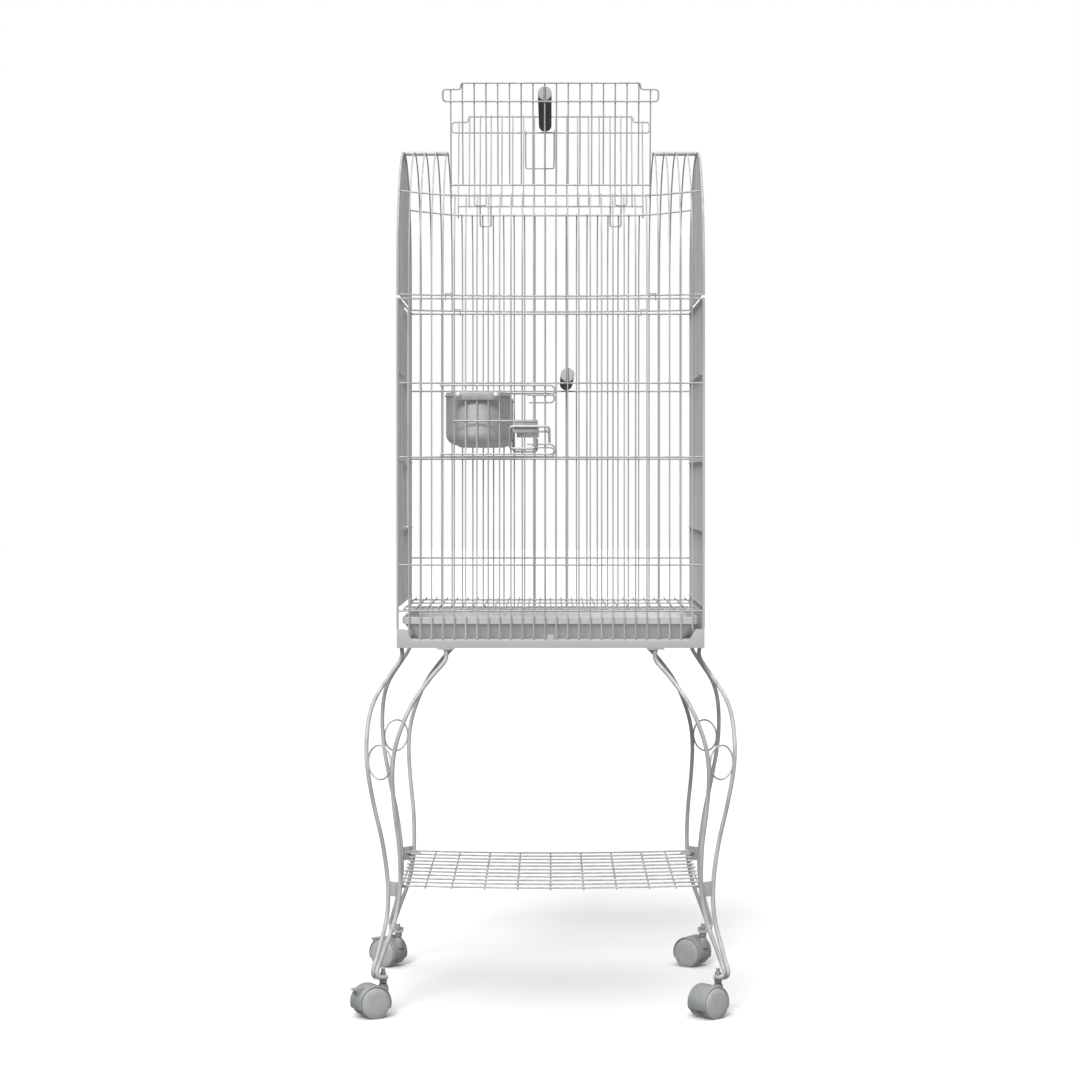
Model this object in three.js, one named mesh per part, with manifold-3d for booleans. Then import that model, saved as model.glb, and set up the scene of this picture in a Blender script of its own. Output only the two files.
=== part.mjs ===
// Bird cage on a rolling stand: a wire cage with a play-top roof, feeder doors, tray and grate.
// Millimetres, +Z up. The origin is on the floor under the middle of the whole outline; the front faces -Y.
import * as THREE from 'three';
import { mergeVertices } from 'three/addons/utils/BufferGeometryUtils.js';
import Module from 'manifold-3d';

const wasm = await Module();
wasm.setup();

// ---------------------------------------------------------------- driving dimensions
const CAGE_W = 500; // between the outer upright wires, left to right
const CAGE_D = 415; // between the front and back upright wires
const STAND_H = 598; // floor to the underside of the base frame
const WALL_H = 558.7; // top of the base frame to the walls' top wire
const GAPS_X = 27; // spaces between uprights along the front
const SIDE_STEPS = 11; // spaces between uprights from the middle of a side to its end
const SIDE_INSET = 9.5; // side panels' end uprights, in from the front uprights

const WIRE_D = 2.4; // infill wire
const EDGE_WIRE_D = WIRE_D + 1.2; // outer uprights of each panel, which the rows hold on to
const ROW_D = 2.8; // horizontal wires
const WELD = 0.3; // how far crossing wires melt into each other
const PASS = 0.1; // gap where an inner row passes an infill wire
const GAP = 0.3; // between pieces that rest on each other
const CLEAR = 0.6; // between pieces that move past each other

const BASE_H = 12.3; // base frame's outer face
const BASE_OUT = 1.5; // base frame outside the uprights' middle line
const BASE_WALL = 3; // base frame's section
const BASE_FLANGE = 14; // width of its bottom flange
const LEDGE_RISE = 2; // tray ledge above the outer face
const LEDGE_T = 3;
const LEDGE_W = 36;
const GUSSET_H = 18.7; // corner plates above the outer face
const GUSSET_W = [25, 14]; // their width at the bottom and at the top
const GUSSET_T = 1.4;
const TAB = { width: 10, height: 9.3, thick: 1.5 };

const ROW_BOTTOM = 48.3; // rows of wire on the front and back, above the base frame
const ROW_LOW = 123.3;
const ROW_DOOR_BOTTOM = 299.7;
const ROW_DOOR_TOP = 420.7;
const SIDE_ROWS = [56.7, 178.7, 292.7, 435.7]; // rows of wire on the sides
const FEEDER_COLUMNS = [-10, -1]; // uprights on each side of the feeder doors' opening
const MAIN_COLUMNS = [-3, 7]; // side uprights on each side of the main door's opening

const VAULT_RISE = 7; // walls' top wire to the vault's bottom wire, at the corners
const VAULT_BOW = 2.8; // dip of that wire in the middle
const VAULT_STRAIGHT = 47; // upright stretch before the arc starts
const HINGE_ANGLE = 35.2; // roof hinge wire's place on the arc, in degrees above level
const HINGE_BOW = 9; // rise of the hinge wire from the flaps to the corners
const EAR_ANGLE = 79; // where the flaps' ears would rest on the arc
const RIM_LAP = 0.78; // end walls' rim towards the hinge wire, which crosses it between two bends
const RIDGE_D = 7;
const CLIP_D = 1.8;
const ARC_STEP = 18; // degrees between bends of the curved wires

const FLAP_LEAN = 10.8; // open flap, outward from upright, in degrees
const FLAP_PITCH = 19.25;
const FLAP_WIRES = 18;
const FLAP_FOOT = 17.5; // hinge to the flap's bottom bar
const HANDLE_H = 30; // lower handle bar to the top bar
const EAR_H = 19.5;
const EAR_OUT = 12.7; // ears outside the flap's outer wires
const HANDLE_IN = 16.7; // top bar's corner, inside the outer wires
const PROP_REACH = 32; // prop feet below the bottom bar
const PROP_OUT = 19.8;
const PROP_WIRES = [6, 7]; // flap wires, counted from the middle, that run on into a prop
const LOCK = { left: -44.5, right: 6.3, length: 64 };

const PERCH_D = 22.7;
const PERCH_SLOT = { width: 4.4, depth: 6.2 };
const PERCH_OVERHANG = 1; // perch ends past the wires they rest on
const TOP_PERCH_COLUMN = -1; // flap wire in the top perch's slots
const INNER_PERCH_COLUMN = 2; // upright in the inner perch's slots

const CUP = { diameter: 107, height: 86.5, wall: 1.6, corner: 19, bead: 1.8, above: 21.2 };
const HOLDER = { height: 13, plate: 1.5, washer: 11.4, screw: 4, margin: 6.2, shift: [-2.6, 3.6] };
const LATCH = { plate: [39.7, 22], thick: 1.2, rod: 4, pull: [42.7, 36], pullLeft: 6.5, finger: 58.5, lip: 20.5,
  ribs: [6, 5.3] };

const TRAY = { rimUnder: 26.7, rimTop: 37.7, gapX: 7, gapY: 7.5, slopeX: 20.5, slopeY: 18.5, wall: 2 };
const GRATE = { pitch: 18.4, wires: 27, crossWires: [-189, -93, 47, 175] };

const ROD_D = 7; // legs
const RING = { z: 414, wire: 3 };
const STRAP = { z: 193, height: 24, thick: 3 };
const SHELF_Z = 210;
const SHELF_SAG = 4;
const SHELF_WIRE_D = 3;
const SHELF_WIRES = 11;
const SHELF_CROSS = [0, 54, 108, 162, 205, 243.4];
const FOOT = { x: 22.7, y: 14.5, z: 62.3, thick: 3 };

const WHEEL = { diameter: 50, width: 17, axle: 6, trail: 22, web: 12 };
const HOOD = { outer: 28.5, inner: 26.2, width: 40 };
const STEM = { diameter: 8, flange: 20, nut: 11, top: 77, bottom: 45 };
const CASTER_TURN = { front_left: 29, front_right: 41, back_left: -31, back_right: -35 };

// ---------------------------------------------------------------- worked out from them
const halfW = CAGE_W / 2;
const halfD = CAGE_D / 2;
const pitch = CAGE_W / GAPS_X;
const sideEnd = halfD - SIDE_INSET;
const sidePitch = sideEnd / SIDE_STEPS;
const baseTop = STAND_H + BASE_H;
const ledgeTop = baseTop + LEDGE_RISE;
const wallTop = baseTop + WALL_H;
const vaultFoot = wallTop + VAULT_RISE;
const arcZ = vaultFoot + VAULT_STRAIGHT;
const arcR = halfD;
const rad = THREE.MathUtils.degToRad;
// A bar has few sides and the section area of the round wire. This is its corners' radius.
const barR = (diameter, sides = 4) => (
  (diameter / 2) * Math.sqrt((2 * Math.PI) / (sides * Math.sin((2 * Math.PI) / sides)))
);
const infillR = barR(WIRE_D, 3);
const wireR = barR(WIRE_D);
const edgeR = barR(EDGE_WIRE_D);
const rowR = barR(ROW_D);
const ridgeR = barR(RIDGE_D, 8);
const rowIn = infillR + rowR - WELD; // a welded row, inside the uprights' plane
const column = (index) => (index + (index < 0 ? 0.5 : -0.5)) * pitch; // uprights -1 and 1 flank x = 0
const hingeR = arcR - rowIn;
const hinge = { y: hingeR * Math.cos(rad(HINGE_ANGLE)), z: arcZ + hingeR * Math.sin(rad(HINGE_ANGLE)) };
const flapHandle = 2 * arcR * Math.sin(rad((EAR_ANGLE - HINGE_ANGLE) / 2));
const flapTop = flapHandle + HANDLE_H;
const flapHalf = ((FLAP_WIRES - 1) / 2) * FLAP_PITCH * (CAGE_W / 500);
const feederHinge = column(FEEDER_COLUMNS[0]);
const feederEdge = column(FEEDER_COLUMNS[1]);
const feederBottom = baseTop + ROW_DOOR_BOTTOM;
const feederTop = baseTop + ROW_DOOR_TOP;

// ---------------------------------------------------------------- shape helpers
const v3 = (x, y, z) => new THREE.Vector3(x, y, z);
const range = (count, from = 0) => Array.from({ length: count }, (_, i) => i + from);

function solid(geometry) {
  const bare = geometry.index ? geometry.toNonIndexed() : geometry.clone();
  bare.deleteAttribute('normal');
  bare.deleteAttribute('uv');
  const merged = mergeVertices(bare, 1e-4);
  return new wasm.Manifold(new wasm.Mesh({
    numProp: 3,
    vertProperties: new Float32Array(merged.attributes.position.array),
    triVerts: new Uint32Array(merged.index.array),
  }));
}

function geometryOf(body) {
  const mesh = body.getMesh();
  const geometry = new THREE.BufferGeometry();
  geometry.setAttribute('position', new THREE.BufferAttribute(mesh.vertProperties, 3));
  geometry.setIndex(new THREE.BufferAttribute(mesh.triVerts, 1));
  geometry.computeVertexNormals();
  return geometry;
}

const join = (bodies) => wasm.Manifold.union(bodies);

function moved(body, matrix) {
  const geometry = geometryOf(body).applyMatrix4(matrix);
  if (matrix.determinant() < 0) {
    geometry.setIndex([...geometry.index.array].reverse());
  }
  return solid(geometry);
}
const shifted = (body, x, y, z) => moved(body, new THREE.Matrix4().makeTranslation(x, y, z));
const tipped = (body) => moved(body, new THREE.Matrix4().makeRotationX(Math.PI / 2)); // +Z to -Y
const turned = (body, degrees) => moved(body, new THREE.Matrix4().makeRotationZ(rad(degrees)));
const mirrorX = (body) => moved(body, new THREE.Matrix4().makeScale(-1, 1, 1));
const mirrorY = (body) => moved(body, new THREE.Matrix4().makeScale(1, -1, 1));
const toCorner = (body, sx, sy) => moved(body, new THREE.Matrix4().makeScale(sx, sy, 1));

// Closes rings of points, all of one length, into a solid with flat ends.
function loft(rings, closed = false) {
  const count = rings[0].length;
  const position = rings.flat().flatMap((point) => [point.x, point.y, point.z]);
  const index = [];
  const spans = closed ? rings.length : rings.length - 1;
  for (let k = 0; k < spans; k += 1) {
    const next = ((k + 1) % rings.length) * count;
    for (let i = 0; i < count; i += 1) {
      const j = (i + 1) % count;
      index.push(k * count + i, k * count + j, next + j, k * count + i, next + j, next + i);
    }
  }
  if (!closed) {
    const last = (rings.length - 1) * count;
    for (let i = 1; i < count - 1; i += 1) {
      index.push(0, i + 1, i, last, last + i, last + i + 1);
    }
  }
  const geometry = new THREE.BufferGeometry();
  geometry.setAttribute('position', new THREE.Float32BufferAttribute(position, 3));
  geometry.setIndex(index);
  return solid(geometry);
}

// A bar bent along points, mitred at each bend. One of its corners faces the way of ref.
function bar(points, radius, ref, sides = 4, closed = false) {
  const count = points.length;
  const heading = (k) => points[(k + 1) % count].clone().sub(points[k % count]).normalize();
  const last = closed ? heading(count - 1) : heading(0);
  const across = ref.clone().addScaledVector(heading(0), -ref.dot(heading(0))).normalize();
  const up = heading(0).cross(across);
  let ring = range(sides).map((i) => {
    const turn = (i / sides) * 2 * Math.PI;
    return across.clone().multiplyScalar(Math.cos(turn) * radius)
      .addScaledVector(up, Math.sin(turn) * radius).add(points[0]);
  });
  const slide = (ringAt, along, point, facing) => ringAt.map((corner) => {
    const step = point.clone().sub(corner).dot(facing) / along.dot(facing);
    return corner.clone().addScaledVector(along, step);
  });
  if (closed) {
    ring = slide(ring, heading(0), points[0], heading(0).add(last).normalize());
  }
  const rings = [ring];
  for (let k = 1; k < count; k += 1) {
    const along = heading(k - 1);
    const open = !closed && k === count - 1;
    const facing = open ? along.clone() : along.clone().add(heading(k)).normalize();
    ring = slide(ring, along, points[k], facing);
    rings.push(ring);
  }
  return loft(rings, closed);
}

const box = (low, high) => {
  const size = high.map((value, i) => value - low[i]);
  const shape = new THREE.BoxGeometry(...size);
  shape.translate(...high.map((value, i) => (value + low[i]) / 2));
  return solid(shape);
};

const cylinder = (radius, low, high, sides = 16) => {
  const shape = new THREE.CylinderGeometry(radius, radius, high - low, sides);
  shape.rotateX(Math.PI / 2);
  shape.translate(0, 0, (high + low) / 2);
  return solid(shape);
};

// A flat outline in x and y, extruded upwards from z = 0.
const slab = (outline, depth) => {
  const shape = new THREE.Shape(outline.map(([x, y]) => new THREE.Vector2(x, y)));
  return solid(new THREE.ExtrudeGeometry(shape, { depth, bevelEnabled: false, steps: 1 }));
};

function roundedRing(halfX, halfY, radius, z, steps = 3) {
  const corners = [[1, 1, 0], [-1, 1, 90], [-1, -1, 180], [1, -1, 270]];
  return corners.flatMap(([sx, sy, start]) => range(steps + 1).map((i) => {
    const turn = rad(start + (90 * i) / steps);
    const cx = sx * (halfX - radius);
    const cy = sy * (halfY - radius);
    return v3(cx + radius * Math.cos(turn), cy + radius * Math.sin(turn), z);
  }));
}

// ---------------------------------------------------------------- finishes
const finish = (color, roughness, metalness) => (
  new THREE.MeshStandardMaterial({ color, roughness, metalness })
);
const powderCoat = () => finish(0xc9cccb, 0.45, 0.1);
const trayPlastic = () => finish(0xdcdcdb, 0.5, 0);
const perchPlastic = () => finish(0x3a3f3f, 0.6, 0);
const stainless = () => finish(0xb4b9b8, 0.25, 1);
const casterPlastic = () => finish(0x9a9e9c, 0.5, 0);
const zinc = () => finish(0xa9adae, 0.35, 0.9);

const cage = new THREE.Group();

function add(name, body, material, parent = cage) {
  const mesh = new THREE.Mesh(geometryOf(body), material);
  mesh.name = name;
  parent.add(mesh);
  return mesh;
}

// ---------------------------------------------------------------- base frame
function rectangleRing(outX, outY, inX, inY, low, high) {
  return box([-outX, -outY, low], [outX, outY, high])
    .subtract(box([-inX, -inY, low - 1], [inX, inY, high + 1]));
}

function gusset(sx, sy) {
  const outX = halfW + BASE_OUT;
  const outY = halfD + BASE_OUT;
  const [wide, narrow] = GUSSET_W;
  const outline = [[0, 0], [wide, 0], [wide, 2], [narrow, GUSSET_H + 1], [0, GUSSET_H + 1]];
  const front = shifted(tipped(slab(outline, GUSSET_T)), 0, GUSSET_T, 0);
  const side = turned(mirrorY(front), 90);
  return shifted(toCorner(join([front, side]), -sx, -sy), sx * outX, sy * outY, baseTop - 1);
}

function baseFrame() {
  const outX = halfW + BASE_OUT;
  const outY = halfD + BASE_OUT;
  const ledgeX = halfW - BASE_OUT;
  const ledgeY = halfD - BASE_OUT;
  const face = rectangleRing(outX, outY, outX - BASE_WALL, outY - BASE_WALL, STAND_H, baseTop);
  const flange = rectangleRing(outX, outY, outX - BASE_FLANGE, outY - BASE_FLANGE,
    STAND_H, STAND_H + LEDGE_T);
  const ledge = rectangleRing(ledgeX, ledgeY, ledgeX - LEDGE_W, ledgeY - LEDGE_W,
    ledgeTop - LEDGE_T, ledgeTop);
  const tab = box([-TAB.width / 2, -outY, baseTop - 1],
    [TAB.width / 2, -outY + TAB.thick, baseTop + TAB.height]);
  const gussets = [[-1, -1], [1, -1], [-1, 1], [1, 1]].map(([sx, sy]) => gusset(sx, sy));
  return join([face, flange, ledge, tab, ...gussets]);
}
add('base_frame', baseFrame(), powderCoat());

// ---------------------------------------------------------------- walls
// Panels are laid out flat: across, out of the cage, up. place() stands them in the cage.
const outward = v3(0, -1, 0);
const inward = v3(0, 1, 0);
// An infill wire's sharp side faces the rows; an end upright has four sides.
const upright = (at, low, high, facing = inward, out = 0) => (
  bar([v3(at, -out, low), v3(at, -out, high)], infillR, facing, 3)
);
const endUpright = (at, low, high) => bar([v3(at, 0, low), v3(at, 0, high)], edgeR, inward);
const row = (from, to, z, out) => bar([v3(from, -out, z), v3(to, -out, z)], rowR, outward);

// The top row is welded all along. The other rows pass the infill by a hair, and hold on to the
// thicker end uprights and to the cut wires, which stand a little nearer to them.
const weldedRow = -rowIn;
const passingRow = -(infillR + rowR + PASS);
const cutOut = -(PASS + WELD);

function frontPanel() {
  const top = wallTop + rowR * 0.7;
  const foot = ledgeTop + GAP;
  const shortFoot = baseTop + GUSSET_H + CLEAR;
  const end = GAPS_X / 2 + 0.5;
  const bars = [-1, 1].map((side) => endUpright(column(side * end), shortFoot, top));
  for (const k of range(2 * end - 1, 1 - end).filter((index) => index !== 0)) {
    const low = Math.abs(k) === end - 1 ? shortFoot : foot;
    if (k > FEEDER_COLUMNS[0] && k < FEEDER_COLUMNS[1]) {
      bars.push(upright(column(k), low, feederBottom + rowR * 0.7, inward, cutOut));
      bars.push(upright(column(k), feederTop - rowR * 0.7, top, inward, cutOut));
    } else {
      bars.push(upright(column(k), low, top));
    }
  }
  for (const z of [baseTop + ROW_BOTTOM, baseTop + ROW_LOW, feederBottom, feederTop]) {
    bars.push(row(-halfW - 1, halfW + 1, z, passingRow));
  }
  bars.push(row(-halfW - 1, halfW + 1, wallTop, weldedRow));
  return join(bars);
}

function sidePanel(withDoor) {
  const top = wallTop + rowR * 0.7;
  const sill = baseTop + SIDE_ROWS[1];
  const low = withDoor ? baseTop + SIDE_ROWS[0] - rowR * 0.7 : ledgeTop + GAP;
  const endLow = withDoor ? low : baseTop + GUSSET_H + CLEAR;
  const bars = [-1, 1].map((side) => endUpright(side * sideEnd, endLow, top));
  for (const k of range(2 * SIDE_STEPS - 1, 1 - SIDE_STEPS)) {
    const cut = withDoor && k > MAIN_COLUMNS[0] && k < MAIN_COLUMNS[1];
    const high = cut ? sill + rowR * 0.7 : top;
    const edge = withDoor && MAIN_COLUMNS.includes(k);
    bars.push(upright(k * sidePitch, low, high, inward, cut || edge ? cutOut : 0));
  }
  const opening = MAIN_COLUMNS.map((k) => k * sidePitch);
  for (const [i, height] of SIDE_ROWS.entries()) {
    const spans = withDoor && i >= 2
      ? [[-sideEnd - 1, opening[0] + 0.5], [opening[1] - 0.5, sideEnd + 1]]
      : [[-sideEnd - 1, sideEnd + 1]];
    bars.push(...spans.map(([from, to]) => row(from, to, baseTop + height, passingRow)));
  }
  bars.push(row(-sideEnd - 1, sideEnd + 1, wallTop, weldedRow));
  return join(bars);
}

// Quarter turns about the cage's upright middle line: front, back, left and right.
const WALLS = {
  front: { turn: 0, out: halfD }, back: { turn: 180, out: halfD },
  left: { turn: -90, out: halfW }, right: { turn: 90, out: halfW },
};
function wallGroup(side) {
  const group = new THREE.Group();
  group.rotation.z = rad(WALLS[side].turn);
  const face = new THREE.Group();
  face.position.y = -WALLS[side].out;
  group.add(face);
  cage.add(group);
  return face;
}
const faces = Object.fromEntries(Object.keys(WALLS).map((side) => [side, wallGroup(side)]));
// The back wall is the front wall mirrored, so its feeder door is at the same end.
add('front_panel', frontPanel(), powderCoat(), faces.front);
add('back_panel', mirrorX(frontPanel()), powderCoat(), faces.back);
add('left_panel', mirrorX(sidePanel(true)), powderCoat(), faces.left);
add('right_panel', sidePanel(false), powderCoat(), faces.right);

// ---------------------------------------------------------------- vault
const arcPoint = (x, degrees, radius = arcR) => (
  v3(x, -radius * Math.cos(rad(degrees)), arcZ + radius * Math.sin(rad(degrees)))
);
const footZ = (x) => vaultFoot - VAULT_BOW * (1 - Math.min(1, Math.abs(x) / halfW) ** 2);

function vaultWire(x, degrees, radius, sides) {
  const arc = [...range(Math.round(degrees / ARC_STEP)).map((i) => i * ARC_STEP), degrees]
    .map((turn) => arcPoint(x, turn));
  return bar([v3(x, -arcR, footZ(x) - rowR * 0.7), ...arc], radius, inward, sides);
}

// The front half of the vault; the back half is the same piece mirrored. Its wires are welded
// to the hinge wire and pass the foot wire.
function vault() {
  const end = GAPS_X / 2 + 0.5;
  const overEnd = 90 - THREE.MathUtils.radToDeg((ridgeR + CLEAR) / arcR);
  const opening = -FEEDER_COLUMNS[0];
  const pastHinge = HINGE_ANGLE + THREE.MathUtils.radToDeg((rowR * 0.7) / arcR);
  const bars = [];
  for (const k of range(2 * end + 1, -end).filter((index) => index !== 0)) {
    const over = Math.abs(k) >= opening;
    const atEnd = Math.abs(k) === end;
    bars.push(vaultWire(column(k), over ? overEnd : pastHinge, atEnd ? edgeR : infillR, atEnd ? 4 : 3));
  }
  const footY = -passingRow - arcR;
  const foot = [-1, -0.5, 0, 0.5, 1].map((t) => v3(t * (halfW + 1), footY, footZ(t * halfW)));
  bars.push(bar(foot, rowR, outward));
  const corner = Math.asin(Math.sin(rad(HINGE_ANGLE)) + HINGE_BOW / arcR);
  const bowed = column(opening) + pitch * 0.5;
  const flat = rad(HINGE_ANGLE);
  const path = [[-halfW - 1, corner], [-bowed, flat], [bowed, flat], [halfW + 1, corner]];
  const hingeWire = path.map(([x, turn]) => (
    v3(x, -hingeR * Math.cos(turn), arcZ + hingeR * Math.sin(turn))));
  bars.push(bar(hingeWire, rowR, v3(0, -Math.cos(flat), Math.sin(flat))));
  return join(bars);
}
add('front_vault', vault(), powderCoat());
add('back_vault', mirrorY(vault()), powderCoat());

// End wall under the arc: upright wires inside a bent rim wire.
function arch() {
  const rimR = hingeR - 2 * rowR + RIM_LAP;
  const steps = 180 / ARC_STEP;
  const curve = range(steps + 1).map((i) => arcPoint(0, (180 * i) / steps, rimR));
  const foot = vaultFoot + 2 * rowR + GAP;
  const rim = [v3(0, -rimR, foot), ...curve, v3(0, rimR, foot)];
  const bars = [bar(rim, rowR, v3(1, 0, 0), 4, true)];
  for (const k of range(2 * SIDE_STEPS - 1, 1 - SIDE_STEPS)) {
    const y = k * sidePitch;
    const top = arcZ + Math.sqrt(rimR ** 2 - y ** 2) * Math.cos(rad(90 / steps)) ** 0.5;
    bars.push(bar([v3(0, y, foot), v3(0, y, top - rowR * 0.3)], infillR, v3(0, 1, 0), 3));
  }
  return join(bars);
}
for (const [side, sx] of [['left', -1], ['right', 1]]) {
  add(`${side}_arch`, arch(), powderCoat()).position.x = sx * halfW;
}

function ridgeBar() {
  const inner = column(-FEEDER_COLUMNS[0]) - wireR - 1;
  const points = [v3(inner, 0, arcZ + arcR), v3(halfW + edgeR + 1, 0, arcZ + arcR)];
  return bar(points, ridgeR, v3(0, 0, 1), 8);
}
add('right_ridge_bar', ridgeBar(), powderCoat());
add('left_ridge_bar', mirrorX(ridgeBar()), powderCoat());

// Small bent-wire clips tie the vault's bottom wire to the walls' top wire.
function panelClip() {
  const wire = barR(CLIP_D);
  const half = 5.2;
  const inner = halfD + passingRow - rowR - wire - GAP;
  const lip = halfD - WELD;
  const high = vaultFoot + rowR + wire + GAP;
  const low = wallTop - rowR - wire - GAP;
  const path = [[half, lip, low], [half, inner, low], [half, inner, high], [half, lip, high]];
  const back = path.map(([x, y, z]) => [-x, y, z]).reverse();
  return bar([...path, ...back].map(([x, y, z]) => v3(x, -y, z)), wire, v3(0, 0, 1));
}
for (const [name, sy] of [['front', -1], ['back', 1]]) {
  for (const [side, sx] of [['left', -1], ['right', 1]]) {
    const clip = sy < 0 ? panelClip() : mirrorY(panelClip());
    const mesh = add(`${name}_${side}_clip`, clip, powderCoat());
    mesh.position.x = sx * (column(-FEEDER_COLUMNS[0]) - pitch / 2);
  }
}

// ---------------------------------------------------------------- roof flaps
// Drawn flat: x across, y out of the flap, z up from the hinge line.
const flapWire = (index) => (index + (index < 0 ? 0.5 : -0.5)) * FLAP_PITCH * (CAGE_W / 500);
const flapRowOut = rowIn;
const flapFootOut = -passingRow;

function flapHandleLoop() {
  const bend = 4;
  const out = flapHalf + EAR_OUT;
  const step = flapHalf - HANDLE_IN;
  const ear = flapHandle + EAR_H;
  const half = [
    [out - bend * 2, flapHandle], [out - bend * 0.6, flapHandle + bend * 0.6], [out, flapHandle + bend * 2],
    [out, ear - bend * 2], [out - bend * 0.6, ear - bend * 0.6], [out - bend * 2, ear],
    [step, ear], [step, flapTop - bend * 0.5], [step - bend * 0.5, flapTop],
  ];
  const path = [...half, ...half.map(([x, z]) => [-x, z]).reverse()];
  return bar(path.map(([x, z]) => v3(x, -flapRowOut, z)), rowR, inward, 4, true);
}

// Two neighbouring wires run on below the bottom bar as a prop that leans on the vault outside.
function prop(side) {
  const [near, far] = PROP_WIRES.map((index) => flapWire(side * index));
  const low = FLAP_FOOT - PROP_REACH;
  const corner = near + side * 2.5;
  const half = [[near, 0, FLAP_FOOT + 6], [near, -5.6, FLAP_FOOT - 8], [near, 1.2 - PROP_OUT, low + 2.5],
    [corner, -PROP_OUT, low]];
  const across = near + far;
  const path = [...half, ...half.map(([x, y, z]) => [across - x, y, z]).reverse()];
  return bar(path.map(([x, y, z]) => v3(x, y, z)), wireR, inward);
}

// The outer wires curl round the hinge wire.
function hingeHook(x) {
  const radius = rowR + wireR + CLEAR;
  const curl = [10, -35, -80, -125, -170].map((degrees) => (
    v3(x, -radius * Math.cos(rad(degrees)), radius * Math.sin(rad(degrees)))
  ));
  return bar([v3(x, 0, FLAP_FOOT), v3(x, -radius, FLAP_FOOT - 7), ...curl], wireR, v3(1, 0, 0));
}

function flap() {
  const bars = [flapHandleLoop(), prop(-1), prop(1)];
  for (const side of [-1, 1]) {
    for (const index of range(FLAP_WIRES / 2, 1)) {
      const x = flapWire(side * index);
      const top = index === FLAP_WIRES / 2 ? flapHandle + EAR_H : flapTop;
      const atEnd = index === FLAP_WIRES / 2;
      const ends = [v3(x, 0, FLAP_FOOT - 1.2), v3(x, 0, top + rowR * 0.7)];
      bars.push(bar(ends, atEnd ? edgeR : infillR, outward, atEnd ? 4 : 3));
    }
    bars.push(hingeHook(side * flapHalf));
  }
  bars.push(row(-flapHalf - 1, flapHalf + 1, FLAP_FOOT, flapFootOut));
  return join(bars);
}

// A frame at the hinge line, leaning outward with the open flap.
function flapGroup(turn) {
  const spin = new THREE.Group();
  spin.rotation.z = rad(turn);
  const lean = new THREE.Group();
  lean.position.set(0, -hinge.y, hinge.z);
  lean.rotation.x = rad(FLAP_LEAN);
  spin.add(lean);
  cage.add(spin);
  return lean;
}
add('front_flap', flap(), powderCoat(), flapGroup(0));
add('back_flap', flap(), powderCoat(), flapGroup(180));

const leanY = (along, out) => hinge.y + along * Math.sin(rad(FLAP_LEAN)) + out * Math.cos(rad(FLAP_LEAN));
const leanZ = (along, out) => hinge.z + along * Math.cos(rad(FLAP_LEAN)) - out * Math.sin(rad(FLAP_LEAN));
const handleBar = { y: leanY(flapHandle, flapRowOut), z: leanZ(flapHandle, flapRowOut) };

// A loop of wire that hangs from the back flap's lower handle bar by two eyes.
function roofLock() {
  const eyeR = rowR + wireR + CLEAR;
  const eye = (x) => bar(range(8).map((i) => (
    v3(x, eyeR * Math.cos(rad(45 * i + 22.5)), eyeR * Math.sin(rad(45 * i + 22.5)))
  )), wireR, v3(1, 0, 0), 4, true);
  const { left, right, length } = LOCK;
  const loop = [
    [left, -eyeR + 0.5], [left, -length + 4], [left + 1.2, -length + 1.2], [left + 4, -length],
    [right - 4, -length], [right - 1.2, -length + 1.2], [right, -length + 4], [right, -eyeR + 0.5],
  ];
  return join([eye(left), eye(right), bar(loop.map(([x, z]) => v3(x, 0, z)), wireR, inward)]);
}
add('roof_lock', roofLock(), powderCoat()).position.set(0, handleBar.y, handleBar.z);

// ---------------------------------------------------------------- perches
function perch(length) {
  const rod = tipped(cylinder(PERCH_D / 2, -length / 2, length / 2, 20));
  const { width, depth } = PERCH_SLOT;
  const slots = [-1, 1].map((end) => box([-width / 2, end * (length / 2) - depth, -PERCH_D],
    [width / 2, end * (length / 2) + depth, PERCH_D]));
  return rod.subtract(join(slots));
}
const topPerch = add('top_perch', perch(2 * (handleBar.y + PERCH_OVERHANG)), perchPlastic());
topPerch.position.set(flapWire(TOP_PERCH_COLUMN), 0, handleBar.z + rowR + GAP + PERCH_D / 2);
const innerPerch = add('inner_perch', perch(2 * (halfD + PERCH_OVERHANG)), perchPlastic());
const innerPerchZ = feederTop + rowR + GAP + PERCH_D / 2;
innerPerch.position.set(column(INNER_PERCH_COLUMN), 0, innerPerchZ);

// ---------------------------------------------------------------- feeder doors
const doorWireOut = infillR / 2 + GAP; // door uprights' middle, outside the wall's
const doorRowOut = doorWireOut + infillR + rowR - WELD;
const doorRows = { top: feederTop - 3.9, middle: feederBottom + 59, bottom: feederBottom + 4.3 };

// A row that starts in a hook round the hinge upright and may turn back at its free end.
function doorRow(z, hingeX, endX, back) {
  const curl = [15, 60, 105, 150].map((degrees) => (
    v3(hingeX - doorRowOut * Math.sin(rad(degrees)), doorRowOut * Math.cos(rad(degrees)), z)
  ));
  const path = [...curl, v3(hingeX, -doorRowOut, z)];
  if (back) {
    const radius = Math.abs(back) / 2;
    const turn = [-90, -30, 30, 90].map((degrees) => v3(
      endX - radius + radius * Math.cos(rad(degrees)),
      -doorRowOut,
      z + back / 2 + Math.sign(back) * radius * Math.sin(rad(degrees)),
    ));
    path.push(...turn, v3(endX - 45.2, -doorRowOut, z + back));
  } else {
    path.push(v3(endX, -doorRowOut, z));
  }
  return bar(path, rowR, v3(0, 0, 1));
}

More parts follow.
